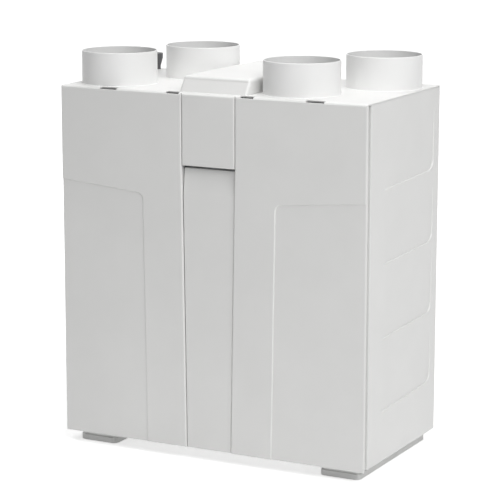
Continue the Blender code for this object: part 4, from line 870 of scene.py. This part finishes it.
def rear_screws():
    """Pan head screws with round sockets along the rear panel's edges."""
    low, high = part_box("rear_panel")
    margin = Vector((SCREW_MARGIN, 0.0, SCREW_MARGIN))
    low = low + margin
    high = high - margin
    turn = Matrix.Rotation(math.radians(-90), 4, "X")
    heads = []
    for across, up in SCREW_SPOTS:
        place = Vector((low.x + across * (high.x - low.x), high.y, low.z + up * (high.z - low.z)))
        head = lathe(SCREW_PROFILE, SCREW_STEPS, closed=False)
        bmesh.ops.holes_fill(head, edges=head.edges)
        bmesh.ops.transform(head, matrix=Matrix.Translation(place) @ turn, verts=head.verts)
        heads.append(head)
    place_piece(add("rear_screws", merge(heads), "steel"), "cabinet")


def place_piece(piece, body, *nodes):
    """Rides a piece on a body and lets it stand for CAD nodes."""
    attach(piece, body)
    if nodes:
        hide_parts(*nodes)


def camera():
    data = bpy.data.cameras.new("camera")
    data.lens = CAMERA_LENS
    data.sensor_width = SENSOR_WIDTH
    view = bpy.data.objects.new("camera", data)
    view.location = CAMERA_PLACE
    view.rotation_mode = "QUATERNION"
    facing = (CAMERA_AIM - CAMERA_PLACE).to_track_quat("-Z", "Y")
    view.rotation_quaternion = facing @ Quaternion((0.0, 0.0, 1.0), CAMERA_ROLL)
    bpy.context.scene.collection.objects.link(view)
    bpy.context.scene.camera = view


def lamp(name, place, size, power):
    """A square soft light that faces the middle of the unit."""
    data = bpy.data.lights.new(name, "AREA")
    data.energy = power
    data.size = size
    light = bpy.data.objects.new(name, data)
    light.location = place
    light.rotation_mode = "QUATERNION"
    light.rotation_quaternion = (CAMERA_AIM - Vector(place)).to_track_quat("-Z", "Y")
    bpy.context.scene.collection.objects.link(light)


def seen_directly(tree):
    """1 where a camera, mirror or glass ray meets the surface, 0 where light is gathered."""
    path = tree.nodes.new("ShaderNodeLightPath")
    rays = [path.outputs[f"Is {ray} Ray"] for ray in ("Camera", "Glossy", "Transmission")]
    total = rays[0]
    for ray in rays[1:]:
        either = tree.nodes.new("ShaderNodeMath")
        either.operation = "MAXIMUM"
        tree.links.new(total, either.inputs[0])
        tree.links.new(ray, either.inputs[1])
        total = either.outputs["Value"]
    return total


def world():
    """A white surround that lights the unit more softly than it shows."""
    surround = bpy.data.worlds.new("surround")
    surround.use_nodes = True
    tree = surround.node_tree
    background = tree.nodes["Background"]
    background.inputs["Color"].default_value = (1.0, 1.0, 1.0, 1.0)
    tree.links.new(spread(tree, seen_directly(tree), AMBIENT, 1.0), background.inputs["Strength"])
    bpy.context.scene.world = surround


def floor():
    """A pale floor that keeps the unit's soft shadow."""
    shape = bmesh.new()
    bmesh.ops.create_circle(shape, cap_ends=True, segments=FLOOR_STEPS, radius=FLOOR_RADIUS)
    mesh = bpy.data.meshes.new("floor")
    shape.to_mesh(mesh)
    shape.free()
    material, tree, shader = new_material("pale_floor")
    shader.inputs["Roughness"].default_value = 1.0
    shader.inputs["Specular IOR Level"].default_value = 0.0
    shader.inputs["Base Color"].default_value = (FLOOR_SHADE, FLOOR_SHADE, FLOOR_SHADE, 1.0)
    shader.inputs["Emission Color"].default_value = (1.0, 1.0, 1.0, 1.0)
    place = tree.nodes.new("ShaderNodeTexCoord")
    distance = tree.nodes.new("ShaderNodeVectorMath")
    distance.operation = "LENGTH"
    tree.links.new(place.outputs["Object"], distance.inputs[0])
    glow = spread(tree, distance.outputs["Value"], FLOOR_GLOW, 1.0)
    glow.node.inputs["From Min"].default_value = GLOW_START
    glow.node.inputs["From Max"].default_value = GLOW_END
    lift = spread(tree, distance.outputs["Value"], FLOOR_LIFT, 0.0)
    lift.node.inputs["From Min"].default_value = LIFT_START
    lift.node.inputs["From Max"].default_value = LIFT_END
    shown = spread(tree, seen_directly(tree), 0.0, 1.0)
    tree.links.new(lift, shown.node.inputs["To Min"])
    tree.links.new(glow, shown.node.inputs["To Max"])
    tree.links.new(shown, shader.inputs["Emission Strength"])
    mesh.materials.append(material)
    ground = bpy.data.objects.new("floor", mesh)
    bpy.context.scene.collection.objects.link(ground)


front_panels()
upper_panel()
filter_cover()
side_panels()
top_cover()
spigots()
housing()
feet()
gland()
rear_screws()
camera()
world()
floor()
lamp("key", KEY_PLACE, KEY_SIZE, KEY_POWER)
lamp("top", TOP_PLACE, TOP_SIZE, TOP_POWER)
bpy.context.scene.view_settings.view_transform = "Standard"
